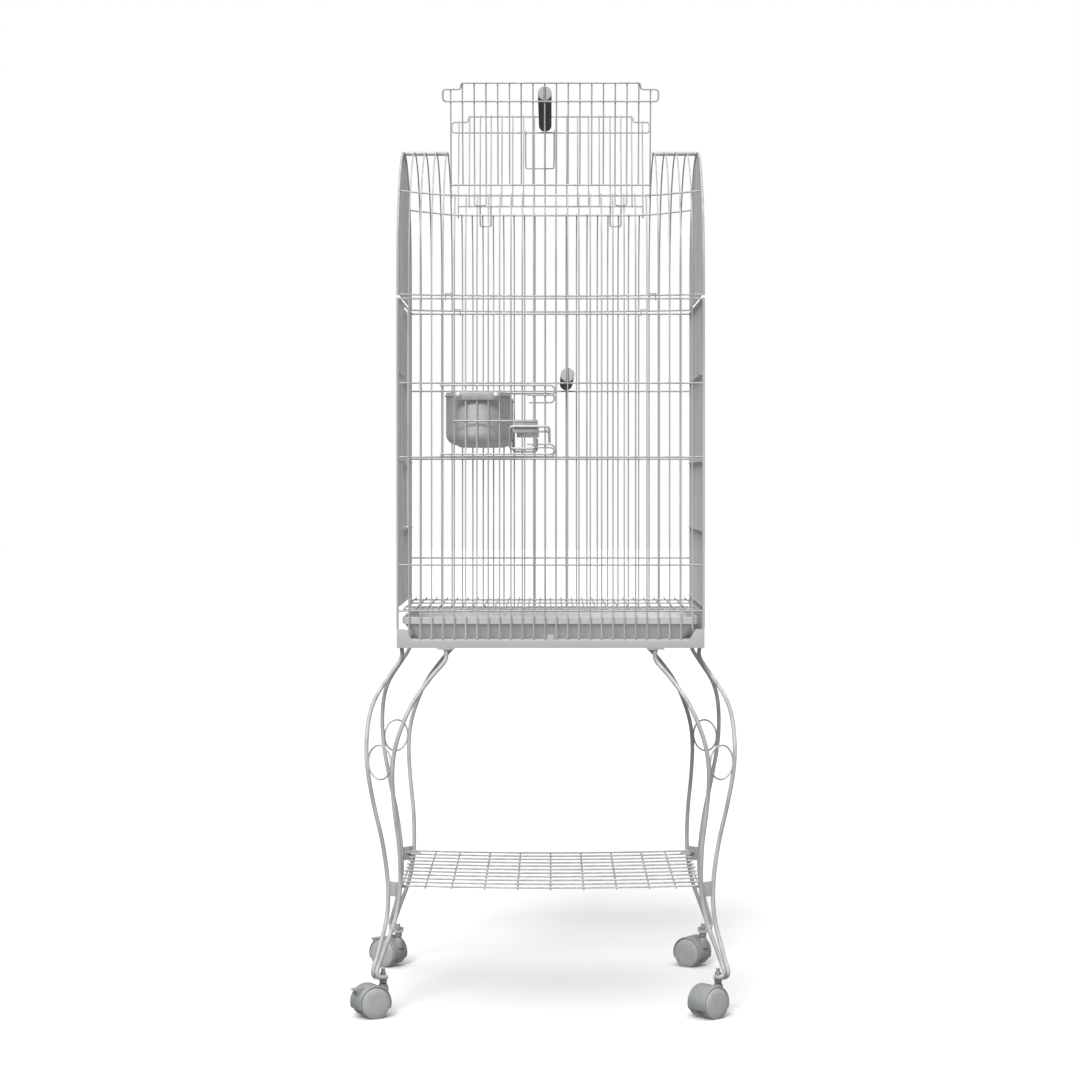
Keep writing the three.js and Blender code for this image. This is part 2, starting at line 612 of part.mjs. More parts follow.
function feederDoor() {
  const bars = range(FEEDER_COLUMNS[1] - FEEDER_COLUMNS[0] - 1, FEEDER_COLUMNS[0] + 1)
    .map((k) => upright(column(k), doorRows.bottom - 1, doorRows.top + 1, outward, doorWireOut));
  const endX = feederEdge + 16;
  bars.push(doorRow(doorRows.top, feederHinge, endX, -16.1));
  bars.push(doorRow(doorRows.bottom, feederHinge, endX, 16.5));
  bars.push(row(column(FEEDER_COLUMNS[0] + 1) - 1, column(FEEDER_COLUMNS[1] - 1) + 1,
    doorRows.middle, doorRowOut));
  return join(bars);
}

// Cup holder: a plate outside the door wires, one inside, and two screws through both.
const cupX = feederHinge + CUP.diameter / 2 + 2.8;
const holderZ = feederTop - CUP.above;
const holderFront = doorWireOut + infillR + GAP;
const holderBack = doorWireOut - infillR / 2 - GAP;
const screwX = [column(FEEDER_COLUMNS[0] + 1) + pitch / 2 + HOLDER.shift[0],
  column(FEEDER_COLUMNS[0] + 4) + pitch / 2 + HOLDER.shift[1]];

function cupHolder() {
  const { height, plate, washer, screw, margin } = HOLDER;
  const [left, right] = [screwX[0] - margin, screwX[1] + margin];
  const [low, high] = [holderZ - height / 2, holderZ + height / 2];
  const front = box([left, -holderFront - plate, low], [right, -holderFront, high]);
  const back = box([left, -holderBack, low], [right, -holderBack + plate, high]);
  const screws = screwX.flatMap((x) => [
    cylinder(screw / 2, holderBack - plate / 2, holderFront + plate + 1, 6),
    cylinder(washer / 2, holderFront + plate - WELD, holderFront + plate + 1.6, 12),
  ].map((body) => shifted(tipped(body), x, 0, holderZ)));
  return join([front, back, ...screws]);
}

// A turned bowl: rolled bead, upright wall, rounded bottom corner.
function cup() {
  const { diameter, height, wall, corner, bead } = CUP;
  const r = diameter / 2;
  const bend = range(3).map((i) => rad(-90 + 45 * i));
  const outer = bend.map((t) => [r - corner + corner * Math.cos(t), corner + corner * Math.sin(t)]);
  const inner = bend.map((t) => [
    r - corner + (corner - wall) * Math.cos(t), corner + (corner - wall) * Math.sin(t)]);
  const rim = [[r, height - 7], [r + bead, height - 4], [r, height - 1.5], [r, height], [r - wall, height]];
  const profile = [[0, 0], ...outer, ...rim, ...inner.reverse(), [0, wall]];
  const points = profile.map(([x, y]) => new THREE.Vector2(x, y));
  const shape = new THREE.LatheGeometry([...points, points[0]], 20);
  shape.rotateX(Math.PI / 2);
  return solid(shape);
}
const cupIn = HOLDER.plate - holderBack + GAP + CUP.bead + CUP.diameter / 2;

// A plate in front of the door's rows, with a rib above and below the rod.
const latchBack = doorRowOut + rowR + GAP;
const latchFace = latchBack + LATCH.thick;

function latchPlate() {
  const [width, height] = LATCH.plate;
  const [lower, upper] = LATCH.ribs;
  const out = latchFace + LATCH.thick;
  return join([
    box([0, -latchFace, -height / 2], [width, -latchBack, height / 2]),
    box([0, -out, -height / 2], [width, -latchBack, lower - height / 2]),
    box([0, -out, height / 2 - upper], [width, -latchBack, height / 2]),
  ]);
}

// A bent rod: a hanging pull on one side, and a finger that drops in front of the fixed upright.
function latchRod() {
  const { plate, rod, pull, pullLeft, finger, lip } = LATCH;
  const [width, drop] = pull;
  const radius = barR(rod, 5);
  const bend = 5;
  const [left, right] = [-pullLeft, width - pullLeft];
  const path = [
    [finger, -lip], [finger, -bend], [finger - bend * 0.3, -bend * 0.3], [finger - bend, 0],
    [left + bend, 0], [left + bend * 0.3, -bend * 0.3], [left, -bend],
    [left, bend - drop], [left + bend * 0.3, bend * 0.3 - drop], [left + bend, -drop],
    [right - bend, -drop], [right - bend * 0.3, bend * 0.3 - drop], [right, bend - drop],
    [right, -plate[1] / 2 - radius],
  ];
  return bar(path.map(([x, z]) => v3(x, -latchFace - GAP - radius, z)), radius, inward, 5);
}

const latchX = feederEdge - 11.6 - LATCH.plate[0];
const latchZ = doorRows.middle + rowR - LATCH.plate[1] / 2;
const feederDoors = [['front', 0], ['back', 1]];
for (const [side, isBack] of feederDoors) {
  const face = faces[side];
  const flip = (body) => (isBack ? mirrorX(body) : body);
  const sx = isBack ? -1 : 1;
  add(`${side}_feeder_door`, flip(feederDoor()), powderCoat(), face);
  add(`${side}_cup_holder`, flip(cupHolder()), zinc(), face);
  const bowl = add(`${side}_cup`, cup(), stainless(), face);
  bowl.position.set(sx * cupX, cupIn, holderZ + HOLDER.height / 2 - CUP.height);
  add(`${side}_latch_plate`, flip(shifted(latchPlate(), latchX, 0, latchZ)), zinc(), face);
  add(`${side}_latch`, flip(shifted(latchRod(), latchX, 0, latchZ)), zinc(), face);
}

// ---------------------------------------------------------------- main door, in the left wall
const mainHinge = MAIN_COLUMNS[0] * sidePitch;
const mainEdge = MAIN_COLUMNS[1] * sidePitch;
const mainRows = {
  top: wallTop - 3.9, high: baseTop + SIDE_ROWS[3], low: baseTop + SIDE_ROWS[2],
  bottom: baseTop + SIDE_ROWS[1] + 4.3,
};

function mainDoor() {
  const inside = range(MAIN_COLUMNS[1] - MAIN_COLUMNS[0] - 1, MAIN_COLUMNS[0] + 1);
  const bars = inside.map((k) => (
    upright(k * sidePitch, mainRows.bottom - 1, mainRows.top + 1, outward, doorWireOut)));
  bars.push(doorRow(mainRows.top, mainHinge, mainEdge + 16, -16.1));
  bars.push(doorRow(mainRows.bottom, mainHinge, mainEdge + 16, 16.5));
  for (const z of [mainRows.high, mainRows.low]) {
    bars.push(row(inside[0] * sidePitch - 1, inside.at(-1) * sidePitch + 1, z, doorRowOut));
  }
  return join(bars);
}
const mainLatchX = mainEdge - 11.6 - LATCH.plate[0];
const mainLatchZ = (mainRows.high + mainRows.low) / 2;
const atMainLatch = (body) => shifted(body, mainLatchX, 0, mainLatchZ);
add('main_door', mirrorX(mainDoor()), powderCoat(), faces.left);
add('main_latch_plate', mirrorX(atMainLatch(latchPlate())), zinc(), faces.left);
add('main_latch', mirrorX(atMainLatch(latchRod())), zinc(), faces.left);

// ---------------------------------------------------------------- tray and grate
function tray() {
  const { rimUnder, rimTop, gapX, gapY, slopeX, slopeY, wall } = TRAY;
  const floor = ledgeTop + GAP;
  const [rimX, rimY] = [halfW - gapX, halfD - gapY];
  const [bodyX, bodyY] = [rimX - 3, rimY - 3];
  const [under, top] = [baseTop + rimUnder, baseTop + rimTop];
  const outer = loft([
    roundedRing(bodyX - slopeX + 2, bodyY - slopeY + 2, 10, floor),
    roundedRing(bodyX, bodyY, 12, under), roundedRing(rimX, rimY, 14, under),
    roundedRing(rimX, rimY, 14, top),
  ]);
  const hollow = loft([
    roundedRing(bodyX - slopeX + 2 - wall, bodyY - slopeY + 2 - wall, 9, floor + wall),
    roundedRing(bodyX - wall, bodyY - wall, 11, under), roundedRing(bodyX - wall, bodyY - wall, 11, top + 1),
  ]);
  return outer.subtract(hollow);
}
add('tray', tray(), trayPlastic());

// Its wires lie on the bottom rows of the front and back walls.
function grate() {
  const { pitch: step, wires, crossWires } = GRATE;
  const reachX = ((wires - 1) / 2) * step * (CAGE_W / 500);
  const reachY = halfD + passingRow + 1;
  const z = baseTop + ROW_BOTTOM + rowR + GAP + edgeR * Math.SQRT1_2;
  const up = v3(0, 0, 1);
  const level = up.clone().applyAxisAngle(v3(0, 1, 0), Math.PI / 4);
  const bars = range(wires).map((i) => {
    const x = -reachX + (2 * reachX * i) / (wires - 1);
    const atEnd = i === 0 || i === wires - 1;
    return bar([v3(x, -reachY, z), v3(x, reachY, z)], atEnd ? edgeR : infillR, atEnd ? level : up,
      atEnd ? 4 : 3);
  });
  for (const [i, y] of crossWires.entries()) {
    const at = (y * halfD) / 207.5;
    const under = z - infillR / 2 - rowR + (i === 0 || i === crossWires.length - 1 ? WELD : -PASS);
    bars.push(bar([v3(-reachX - 4, at, under), v3(reachX + 4, at, under)], rowR, v3(0, 0, 1)));
  }
  return join(bars);
}
add('grate', grate(), powderCoat());

// ---------------------------------------------------------------- legs
// One rod of a leg: out from the corner, aside from the corner, height. Its twin swaps the two.
const stretch = (z) => FOOT.z + ((z - FOOT.z) * (STAND_H - FOOT.z)) / (598 - 62.3);
const legCurve = new THREE.CatmullRomCurve3([
  [-2, -78, 598], [-2, -78, 578], [14, -56, 552], [36, -31, 518], [47, -14, 485], [51, 1, 440],
  [48, 6, 395], [38, 3, 340], [24, -4, 275], [16, -5, 210], [17.5, 3, 158], [30, 21.5, 105],
  [37.5, 30.5, 79],
].map(([u, v, z]) => v3(u, v, stretch(z))), false, 'catmullrom', 0.5);
const legPoints = [...legCurve.getPoints(13), v3(FOOT.x + 11.5, FOOT.y - 1, FOOT.z + FOOT.thick + 3)];
const swapped = (point) => v3(point.y, point.x, point.z);

function rodAt(z) {
  const below = legPoints.findIndex((point) => point.z <= z);
  const [a, b] = [legPoints[below - 1], legPoints[below]];
  return a.clone().lerp(b, (a.z - z) / (a.z - b.z));
}

// Drawn for the corner towards +X and +Y, with the corner upright at the origin.
function leg() {
  const rodR = barR(ROD_D, 5);
  const twin = legPoints.map(swapped);
  twin[twin.length - 1].set(FOOT.x - 1, FOOT.y + 11.5, FOOT.z + FOOT.thick + 3);
  for (const rod of [legPoints, twin]) {
    rod[0].z = STAND_H - GAP - 1;
  }
  const rods = [bar(legPoints, rodR, v3(1, 0, 0), 5), bar(twin, rodR, v3(0, 1, 0), 5)];
  const plates = [[-2 - 5, -78 - 14, 10, 28], [-78 - 14, -2 - 5, 28, 10]].map(([x, y, dx, dy]) => (
    box([x, y, STAND_H - GAP - 2.4], [x + dx, y + dy, STAND_H - GAP])));
  const side = rodAt(RING.z);
  const spread = side.distanceTo(swapped(side)) / 2 - rodR;
  const wire = barR(RING.wire);
  const middle = (side.x + side.y) / 2;
  const along = v3(-Math.SQRT1_2, Math.SQRT1_2, 0);
  const circle = range(14).map((i) => {
    const turn = (i * Math.PI) / 7;
    const radius = spread - wire + 0.9;
    return v3(middle, middle, RING.z + radius * Math.sin(turn))
      .addScaledVector(along, radius * Math.cos(turn));
  });
  const ring = bar(circle, wire, v3(1, 1, 0), 4, true);
  const strapEnd = rodAt(STRAP.z + STRAP.height / 2);
  const strapHalf = strapEnd.distanceTo(swapped(strapEnd)) / 2;
  const strapAt = (strapEnd.x + strapEnd.y) / 2;
  const flat = box([-strapHalf, -STRAP.thick / 2, STRAP.z],
    [strapHalf, STRAP.thick / 2, STRAP.z + STRAP.height]);
  const strap = shifted(turned(flat, 135), strapAt, strapAt, 0);
  const hole = shifted(cylinder(STEM.diameter / 2 + 0.5, -1, FOOT.thick + 1, 8), FOOT.x, FOOT.y, 0);
  const sheet = slab([[12, 4], [36, 4], [42, 12], [40, 36], [30, 40], [12, 30]], FOOT.thick);
  const plate = shifted(sheet.subtract(hole), 0, 0, FOOT.z);
  return join([...rods, ...plates, ring, strap, plate]);
}
const corners = Object.keys(CASTER_TURN).map((name) => (
  [name, name.endsWith('left') ? -1 : 1, name.startsWith('front') ? -1 : 1]));
for (const [name, sx, sy] of corners) {
  const mesh = add(`${name}_leg`, toCorner(leg(), sx, sy), powderCoat());
  mesh.position.set(sx * halfW, sy * halfD, 0);
}

// ---------------------------------------------------------------- shelf
function shelf() {
  const wire = barR(SHELF_WIRE_D);
  const edge = [1, 0.65, 0];
  const stations = [...edge.map((t) => -t), ...edge.slice(0, -1).reverse()].map((t) => t * (halfW - 2));
  const sag = (x) => SHELF_Z - SHELF_SAG * (1 - (x / (halfW - 2)) ** 2);
  const sagged = (x) => {
    const next = Math.min(stations.length - 1, Math.max(1, stations.findIndex((at) => at >= x)));
    const [a, b] = [stations[next - 1], stations[next]];
    return sag(a) + ((sag(b) - sag(a)) * (x - a)) / (b - a);
  };
  const edgeWire = wire + PASS + WELD;
  const bars = range(SHELF_WIRES).map((i) => {
    const y = -halfD + (CAGE_D * i) / (SHELF_WIRES - 1);
    const radius = i === 0 || i === SHELF_WIRES - 1 ? edgeWire : wire;
    return bar(stations.map((x) => v3(x, y, sag(x))), radius, v3(0, 0, -1));
  });
  const outermost = SHELF_CROSS.at(-1);
  for (const reach of SHELF_CROSS) {
    const x = (reach * halfW) / 250;
    const drop = reach === outermost ? WELD : -PASS;
    for (const at of x === 0 ? [0] : [-x, x]) {
      const z = sagged(at) - 2 * wire + drop;
      bars.push(bar([v3(at, -halfD - 3, z), v3(at, halfD + 3, z)], wire, v3(0, 0, 1)));
    }
  }
  const strapEnd = rodAt(STRAP.z + STRAP.height / 2);
  const strapAt = (strapEnd.x + strapEnd.y) / 2;
  const reach = strapAt * Math.SQRT2 - STRAP.thick / 2 - GAP;
  for (const [, sx, sy] of corners) {
    const lug = shifted(turned(box([-22, -5, 0], [reach, 5, 3]), 45), halfW, halfD, SHELF_Z - 4);
    bars.push(toCorner(lug, sx, sy));
  }
  return join(bars);
}
add('shelf', shelf(), powderCoat());

// ---------------------------------------------------------------- casters
// Drawn with the swivel's axis at the origin and the wheels trailing towards -X.
const wheelZ = WHEEL.diameter / 2;
const wheelX = -WHEEL.trail;
const wheelAt = WHEEL.web / 2 + 0.8 + WHEEL.width / 2;

function stem() {
  const { diameter, flange, nut, top, bottom } = STEM;
  return join([
    cylinder(diameter / 2, bottom, top, 8),
    cylinder(flange / 2, HOOD.outer + wheelZ + 1, FOOT.z - GAP, 10),
    cylinder(nut / 2, FOOT.z + FOOT.thick + GAP, FOOT.z + FOOT.thick + 6, 6),
  ]);
}

function hood() {
  const sector = (radius, from, to, steps) => range(steps + 1).map((i) => {
    const turn = rad(from + ((to - from) * i) / steps);
    return [wheelX + radius * Math.cos(turn), wheelZ + radius * Math.sin(turn)];
  });
  const stand = (body, width) => shifted(tipped(body), 0, width / 2, 0);
  const fender = slab([...sector(HOOD.outer, -12, 168, 8), ...sector(HOOD.inner, -12, 168, 8).reverse()],
    HOOD.width);
  const web = slab([...sector(HOOD.inner + 0.5, -12, 168, 5), ...sector(7, 200, 320, 2)], WHEEL.web);
  const boss = cylinder(10, 26, HOOD.outer + wheelZ - 0.5, 10);
  const bore = cylinder(STEM.diameter / 2 + 0.9, STEM.bottom - 1, 80, 8);
  const bossRoom = slab([...sector(HOOD.inner, -12, 168, 8), [wheelX, wheelZ]], HOOD.width);
  const axleEnd = wheelAt + WHEEL.width / 2 - 1;
  const axle = shifted(tipped(cylinder(WHEEL.axle / 2, -axleEnd, axleEnd, 8)), wheelX, 0, wheelZ);
  const shell = join([stand(fender, HOOD.width), stand(web, WHEEL.web)]);
  const post = boss.subtract(stand(bossRoom, HOOD.width));
  return join([shell, post]).subtract(bore).add(axle);
}

function wheel() {
  const r = WHEEL.diameter / 2;
  const half = WHEEL.width / 2;
  const bore = WHEEL.axle / 2 + 0.5;
  const profile = [[bore, -half], [r - 3, -half], [r, -half + 3], [r, half - 3], [r - 4, half], [bore, half],
    [bore, -half]];
  return solid(new THREE.LatheGeometry(profile.map(([x, y]) => new THREE.Vector2(x, y)), 16));
}

function brake() {
  const outline = [[0, -2.4], [3, -1.6], [17, 1.5], [19, 4.5], [16, 4.8], [3, 2.4], [0, 2.4], [-2, 0]];
  return mirrorX(shifted(tipped(slab(outline, 16)), 0, 8, 0));
}

for (const [name, sx, sy] of corners) {
  const post = new THREE.Group();
  post.position.set(sx * (halfW + FOOT.x), sy * (halfD + FOOT.y), 0);
  cage.add(post);
  add(`${name}_stem`, stem(), zinc(), post);
  const swivel = new THREE.Group();
  swivel.rotation.z = rad(CASTER_TURN[name]);
  post.add(swivel);
  add(`${name}_caster`, hood(), casterPlastic(), swivel);
  for (const [side, sign] of [['inner', -1], ['outer', 1]]) {
    const tyre = add(`${name}_${side}_wheel`, wheel(), casterPlastic(), swivel);
    tyre.position.set(wheelX, sign * wheelAt, wheelZ);
    tyre.rotation.z = sign < 0 ? Math.PI : 0;
  }
  if (sx < 0) {
    const lever = add(`${name}_brake`, brake(), casterPlastic(), swivel);
    const turn = rad(158);
    const reach = HOOD.outer + 3.2;
    lever.position.set(wheelX + reach * Math.cos(turn), 0, wheelZ + reach * Math.sin(turn));
  }
}

// The casters trail to one side, so the whole outline is centred over the origin.
const middle = new THREE.Box3().setFromObject(cage, true).getCenter(v3(0, 0, 0));
cage.position.set(-middle.x, -middle.y, 0);

const part = new THREE.Group();
part.add(cage);
export default part;
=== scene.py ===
"""Bird cage on a rolling stand: round wires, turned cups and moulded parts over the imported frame."""

import math

import bmesh
import bpy
from mathutils import Matrix, Vector


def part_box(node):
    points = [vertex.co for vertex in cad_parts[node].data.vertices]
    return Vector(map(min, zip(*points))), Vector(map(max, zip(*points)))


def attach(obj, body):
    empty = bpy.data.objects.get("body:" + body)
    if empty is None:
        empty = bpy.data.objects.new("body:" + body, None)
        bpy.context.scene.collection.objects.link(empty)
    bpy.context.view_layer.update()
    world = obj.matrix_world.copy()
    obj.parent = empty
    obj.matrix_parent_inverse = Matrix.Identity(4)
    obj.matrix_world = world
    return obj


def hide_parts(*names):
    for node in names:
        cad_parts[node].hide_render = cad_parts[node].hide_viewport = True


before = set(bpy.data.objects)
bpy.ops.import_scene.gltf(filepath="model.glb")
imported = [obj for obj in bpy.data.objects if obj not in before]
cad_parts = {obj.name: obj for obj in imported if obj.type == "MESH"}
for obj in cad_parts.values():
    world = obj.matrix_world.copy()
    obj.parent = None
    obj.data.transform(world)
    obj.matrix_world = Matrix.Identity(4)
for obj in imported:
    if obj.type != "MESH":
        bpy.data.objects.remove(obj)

bl_info = {
    "name": "Bird cage on stand",
    "version": (1, 0, 0),
    "blender": (4, 5, 0),
    "location": "View3D > Sidebar > Bird cage",
    "description": "Builds a play-top bird cage on a rolling stand over its CAD frame",
    "category": "Object",
}

# ------------------------------------------------------------------ sizes, in millimetres
MM = 0.001
WELD = 0.3  # how far crossing wires melt into each other
GAP = 0.3  # between pieces that rest on each other
WIRE_SIDES = 12

BASE_OUT = 1.5  # base frame outside the uprights' middle line
GAPS_X = 27  # spaces between uprights along the front
SIDE_STEPS = 11  # spaces from the middle of a side to its end
SIDE_INSET = 9.5  # side walls' end uprights, in from the front uprights
LEDGE_RISE = 2
GUSSET_H = 18.7
FRONT_ROWS = [48.3, 123.3, 299.7, 420.7]  # above the base frame
SIDE_ROWS = [56.7, 178.7, 292.7, 435.7]
WALL_H = 558.7
FEEDER_COLUMNS = [-10, -1]
MAIN_COLUMNS = [-3, 7]

VAULT_RISE = 7  # walls' top wire to the vault's bottom wire
VAULT_BOW = 2.8
VAULT_STRAIGHT = 47
HINGE_ANGLE = 35.2
HINGE_BOW = 9
RIDGE_D = 7
CLIP_D = 1.8

FLAP_LEAN = 10.8
FLAP_PITCH = 19.25
FLAP_HALF_COUNT = 9
FLAP_FOOT = 17.5
FLAP_HANDLE = 154
FLAP_TOP = 183.9
EAR = (12.7, 19.5)  # ears outside the outer wires, and above the lower handle bar
HANDLE_IN = 16.7
PROP_WIRES = [6, 7]
PROP_REACH = 32
PROP_OUT = 19.8
LOCK = (-44.5, 6.3, 64)  # the loop's left side, right side and length

PERCH_SLOT = (3.6, 6.2)
PERCH_DISC = 2.4  # pale end disc's thickness

DOOR_WIRE_OUT = 1.8  # door uprights' middle, outside the wall's
LATCH_PLATE = (39.7, 22, 1.2)
LATCH_RIBS = (6, 5.3)
LATCH_ROD_D = 4
LATCH_PULL = (42.7, 36, 6.5)
LATCH_FINGER = (58.5, 20.5)
HOLDER = (13, 1.5, 6.2)
WASHER_D = 11.4
CUP_CORNER = 19
CUP_BEAD = 1.8
CUP_WALL = 1

GRATE_WIRES = 27
GRATE_CROSS = [-189, -93, 47, 175]
SHELF_WIRES = 11
SHELF_CROSS = [0, 54, 108, 162, 205, 243.4]
SHELF_SAG = 4

RING = (414, 3)
STRAP = (193, 24, 3)
FOOT = (22.7, 14.5, 62.3, 3)
LEG_PATH = [
    (-2, -78, 597.7), (-2, -78, 578), (14, -56, 552), (36, -31, 518), (47, -14, 485),
    (50.8, 1, 440), (48, 6, 395), (38, 3, 340), (24, -4, 275), (16, -5, 210), (17.5, 3, 158),
    (30, 21.5, 105), (37.5, 30.5, 79),
]

WHEEL_D = 50
WHEEL_W = 17
WHEEL_TRAIL = 22
WEB = 12
HOOD = (28.5, 26.2, 40.8)  # outer radius, inner radius, width
HOOD_ARC = (-20, 200)  # the hood's ends round the wheels' axle, in degrees
CASTER_TURN = {"front_left": 29, "front_right": 41, "back_left": -31, "back_right": -35}

# ------------------------------------------------------------------ places, from the frame
base_low, base_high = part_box("base_frame")
CENTRE = ((base_low + base_high) / 2).xy
HALF_W = (base_high.x - base_low.x) / MM / 2 - BASE_OUT
HALF_D = (base_high.y - base_low.y) / MM / 2 - BASE_OUT
STAND_H = base_low.z / MM
BASE_TOP = STAND_H + 12.3
LEDGE_TOP = BASE_TOP + LEDGE_RISE
WALL_TOP = BASE_TOP + WALL_H
VAULT_FOOT = WALL_TOP + VAULT_RISE
ARC_Z = VAULT_FOOT + VAULT_STRAIGHT
ARC_R = HALF_D
PITCH = 2 * HALF_W / GAPS_X
SIDE_END = HALF_D - SIDE_INSET
SIDE_PITCH = SIDE_END / SIDE_STEPS
FEEDER_LOW = BASE_TOP + FRONT_ROWS[2]
FEEDER_HIGH = BASE_TOP + FRONT_ROWS[3]


def column(index):
    """Place of an upright along the front: -1 and 1 flank the middle."""
    return (index + (0.5 if index < 0 else -0.5)) * PITCH


def spot(node):
    """Middle of a node's box, in the cage's own millimetres."""
    low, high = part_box(node)
    middle = (low + high) / 2
    return Vector(((middle.x - CENTRE.x) / MM, (middle.y - CENTRE.y) / MM, middle.z / MM))


def span(node):
    """Lowest and highest corner of a node, in the cage's own millimetres."""
    shift = Vector((CENTRE.x, CENTRE.y, 0))
    low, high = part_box(node)
    return (low - shift) / MM, (high - shift) / MM


# ------------------------------------------------------------------ settings a user would change
class CageSizes(bpy.types.PropertyGroup):
    """Wire and rod thicknesses."""

    infill: bpy.props.FloatProperty(
        name="Infill wire", description="Diameter of the thin wires", default=2.4 * MM,
        min=0.5 * MM, max=6 * MM, unit="LENGTH")
    row: bpy.props.FloatProperty(
        name="Row wire", description="Diameter of the horizontal wires", default=2.8 * MM,
        min=0.5 * MM, max=6 * MM, unit="LENGTH")
    edge: bpy.props.FloatProperty(
        name="Corner wire", description="Diameter of the uprights at the corners",
        default=4 * MM, min=0.5 * MM, max=6 * MM, unit="LENGTH")
    leg: bpy.props.FloatProperty(
        name="Leg rod", description="Diameter of the legs' rods", default=7 * MM,
        min=3 * MM, max=10 * MM, unit="LENGTH")


class CageColours(bpy.types.PropertyGroup):
    """Colours of the finishes, as sRGB hex values."""

    powder: bpy.props.StringProperty(
        name="Powder coat", description="Wires, legs and base frame", default="BABCBB")
    tray: bpy.props.StringProperty(
        name="Tray", description="Tray plastic", default="C6C8C7")
    perch: bpy.props.StringProperty(
        # The perch body's dark colour is painted shade, standing in for the shade on the perch's underside.
        name="Perch", description="Perch body", default="1F2222")
    disc: bpy.props.StringProperty(
        name="Perch ends", description="Discs on the perch ends", default="BCBEBD")
    steel: bpy.props.StringProperty(
        name="Cups", description="Stainless steel", default="D6D8D7")
    zinc: bpy.props.StringProperty(
        name="Fittings", description="Latches, holders and stems", default="BCBEBE")
    caster: bpy.props.StringProperty(
        name="Casters", description="Caster plastic", default="989C9A")
    wheel: bpy.props.StringProperty(
        name="Wheels", description="Wheel plastic", default="B0B3B1")
    floor: bpy.props.StringProperty(
        name="Floor", description="Studio floor", default="FAFAFA")


def sizes():
    return bpy.context.scene.cage_sizes


def infill_d():
    return sizes().infill / MM


def row_d():
    return sizes().row / MM


def row_in():
    """A row's middle inside the uprights' middle, where it is welded to them."""
    return (infill_d() + row_d()) / 2 - WELD


# ------------------------------------------------------------------ materials
TONE_STOPS = (0.35, 0.65)  # where the noise reads darkest and lightest


def linear(hex_colour):
    """sRGB hex to the linear colour that the shaders take."""
    parts = [int(hex_colour[i:i + 2], 16) / 255 for i in (0, 2, 4)]
    return tuple(c / 12.92 if c <= 0.04045 else ((c + 0.055) / 1.055) ** 2.4 for c in parts) + (1,)


def add(tree, kind, inputs=(), **settings):
    """Adds a node: settings are its own fields, inputs are (socket, value or source socket)."""
    node = tree.nodes.new(kind)
    for name, value in settings.items():
        setattr(node, name, value)
    for socket, value in inputs:
        if isinstance(value, bpy.types.NodeSocket):
            tree.links.new(value, node.inputs[socket])
        else:
            node.inputs[socket].default_value = value
    return node


def finish(name, colour, roughness, metallic=0.0, ior=1.5, grain=None, bump=0.0, spread=0.0, tone=None):
    """A shader with grain: (cell size in mm along x, y and z) for its bump and its dull patches.
    tone is (cell size in mm along x, y and z, and a share) for how the colour drifts."""
    if name in bpy.data.materials:
        return bpy.data.materials[name]
    material = bpy.data.materials.new(name)
    material.use_nodes = True
    tree = material.node_tree
    shader = tree.nodes["Principled BSDF"]
    base = linear(colour)
    shader.inputs["Base Color"].default_value = base
    shader.inputs["Metallic"].default_value = metallic
    shader.inputs["Roughness"].default_value = roughness
    if not metallic:
        shader.inputs["IOR"].default_value = ior
    material.diffuse_color = base
    place = add(tree, "ShaderNodeTexCoord").outputs["Object"]
    cells = tuple(1 / (size * MM) for size in grain)
    scaled = add(tree, "ShaderNodeMapping", [("Vector", place), ("Scale", cells)]).outputs["Vector"]
    noise = add(tree, "ShaderNodeTexNoise", [("Vector", scaled), ("Scale", 1), ("Detail", 3)])
    lift = add(tree, "ShaderNodeBump", [("Height", noise.outputs["Fac"]), ("Strength", bump),
                                        ("Distance", 0.2 * MM)])
    tree.links.new(lift.outputs["Normal"], shader.inputs["Normal"])
    rough = add(tree, "ShaderNodeMapRange", [
        ("Value", noise.outputs["Fac"]), ("To Min", roughness - spread), ("To Max", roughness + spread)])
    tree.links.new(rough.outputs["Result"], shader.inputs["Roughness"])
    if tone:
        *drift, share = tone
        cells = tuple(1 / (size * MM) for size in drift)
        wide = add(tree, "ShaderNodeMapping", [("Vector", place), ("Scale", cells)]).outputs["Vector"]
        cloud = add(tree, "ShaderNodeTexNoise", [("Vector", wide), ("Scale", 1), ("Detail", 2)])
        ramp = add(tree, "ShaderNodeValToRGB", [("Fac", cloud.outputs["Fac"])])
        for stop, place_on_ramp, gain in zip(ramp.color_ramp.elements, TONE_STOPS, (1 - share, 1 + share)):
            stop.position = place_on_ramp
            stop.color = tuple(min(1, part * gain) for part in base[:3]) + (1,)
        tree.links.new(ramp.outputs["Color"], shader.inputs["Base Color"])
    return material


def powder_coat():
    # Polyester powder coat baked on steel wire: a satin skin with a faint orange peel. The peel is
    # drawn at 4 mm, coarser than the real 1 mm, so that it shows. Wires pick up the powder unevenly,
    # so one reads a little darker than the next.
    return finish("Powder coat", bpy.context.scene.cage_colours.powder, 0.42, grain=(4, 4, 4),
                  bump=0.12, spread=0.05, tone=(9, 9, 400, 0.16))


def coated_sheet():
    # The same coat on folded steel sheet: even in colour, with the same orange peel.
    return finish("Powder coat on sheet", bpy.context.scene.cage_colours.powder, 0.42, grain=(4, 4, 4),
                  bump=0.08, spread=0.05, tone=(120, 120, 120, 0.03))


def tray_plastic():
    # Moulded polystyrene: smooth, slightly dull in patches where the mould was worn.
    return finish("Moulded polystyrene", bpy.context.scene.cage_colours.tray, 0.45, ior=1.59,
                  grain=(25, 25, 25), bump=0.03, spread=0.06, tone=(60, 60, 60, 0.04))


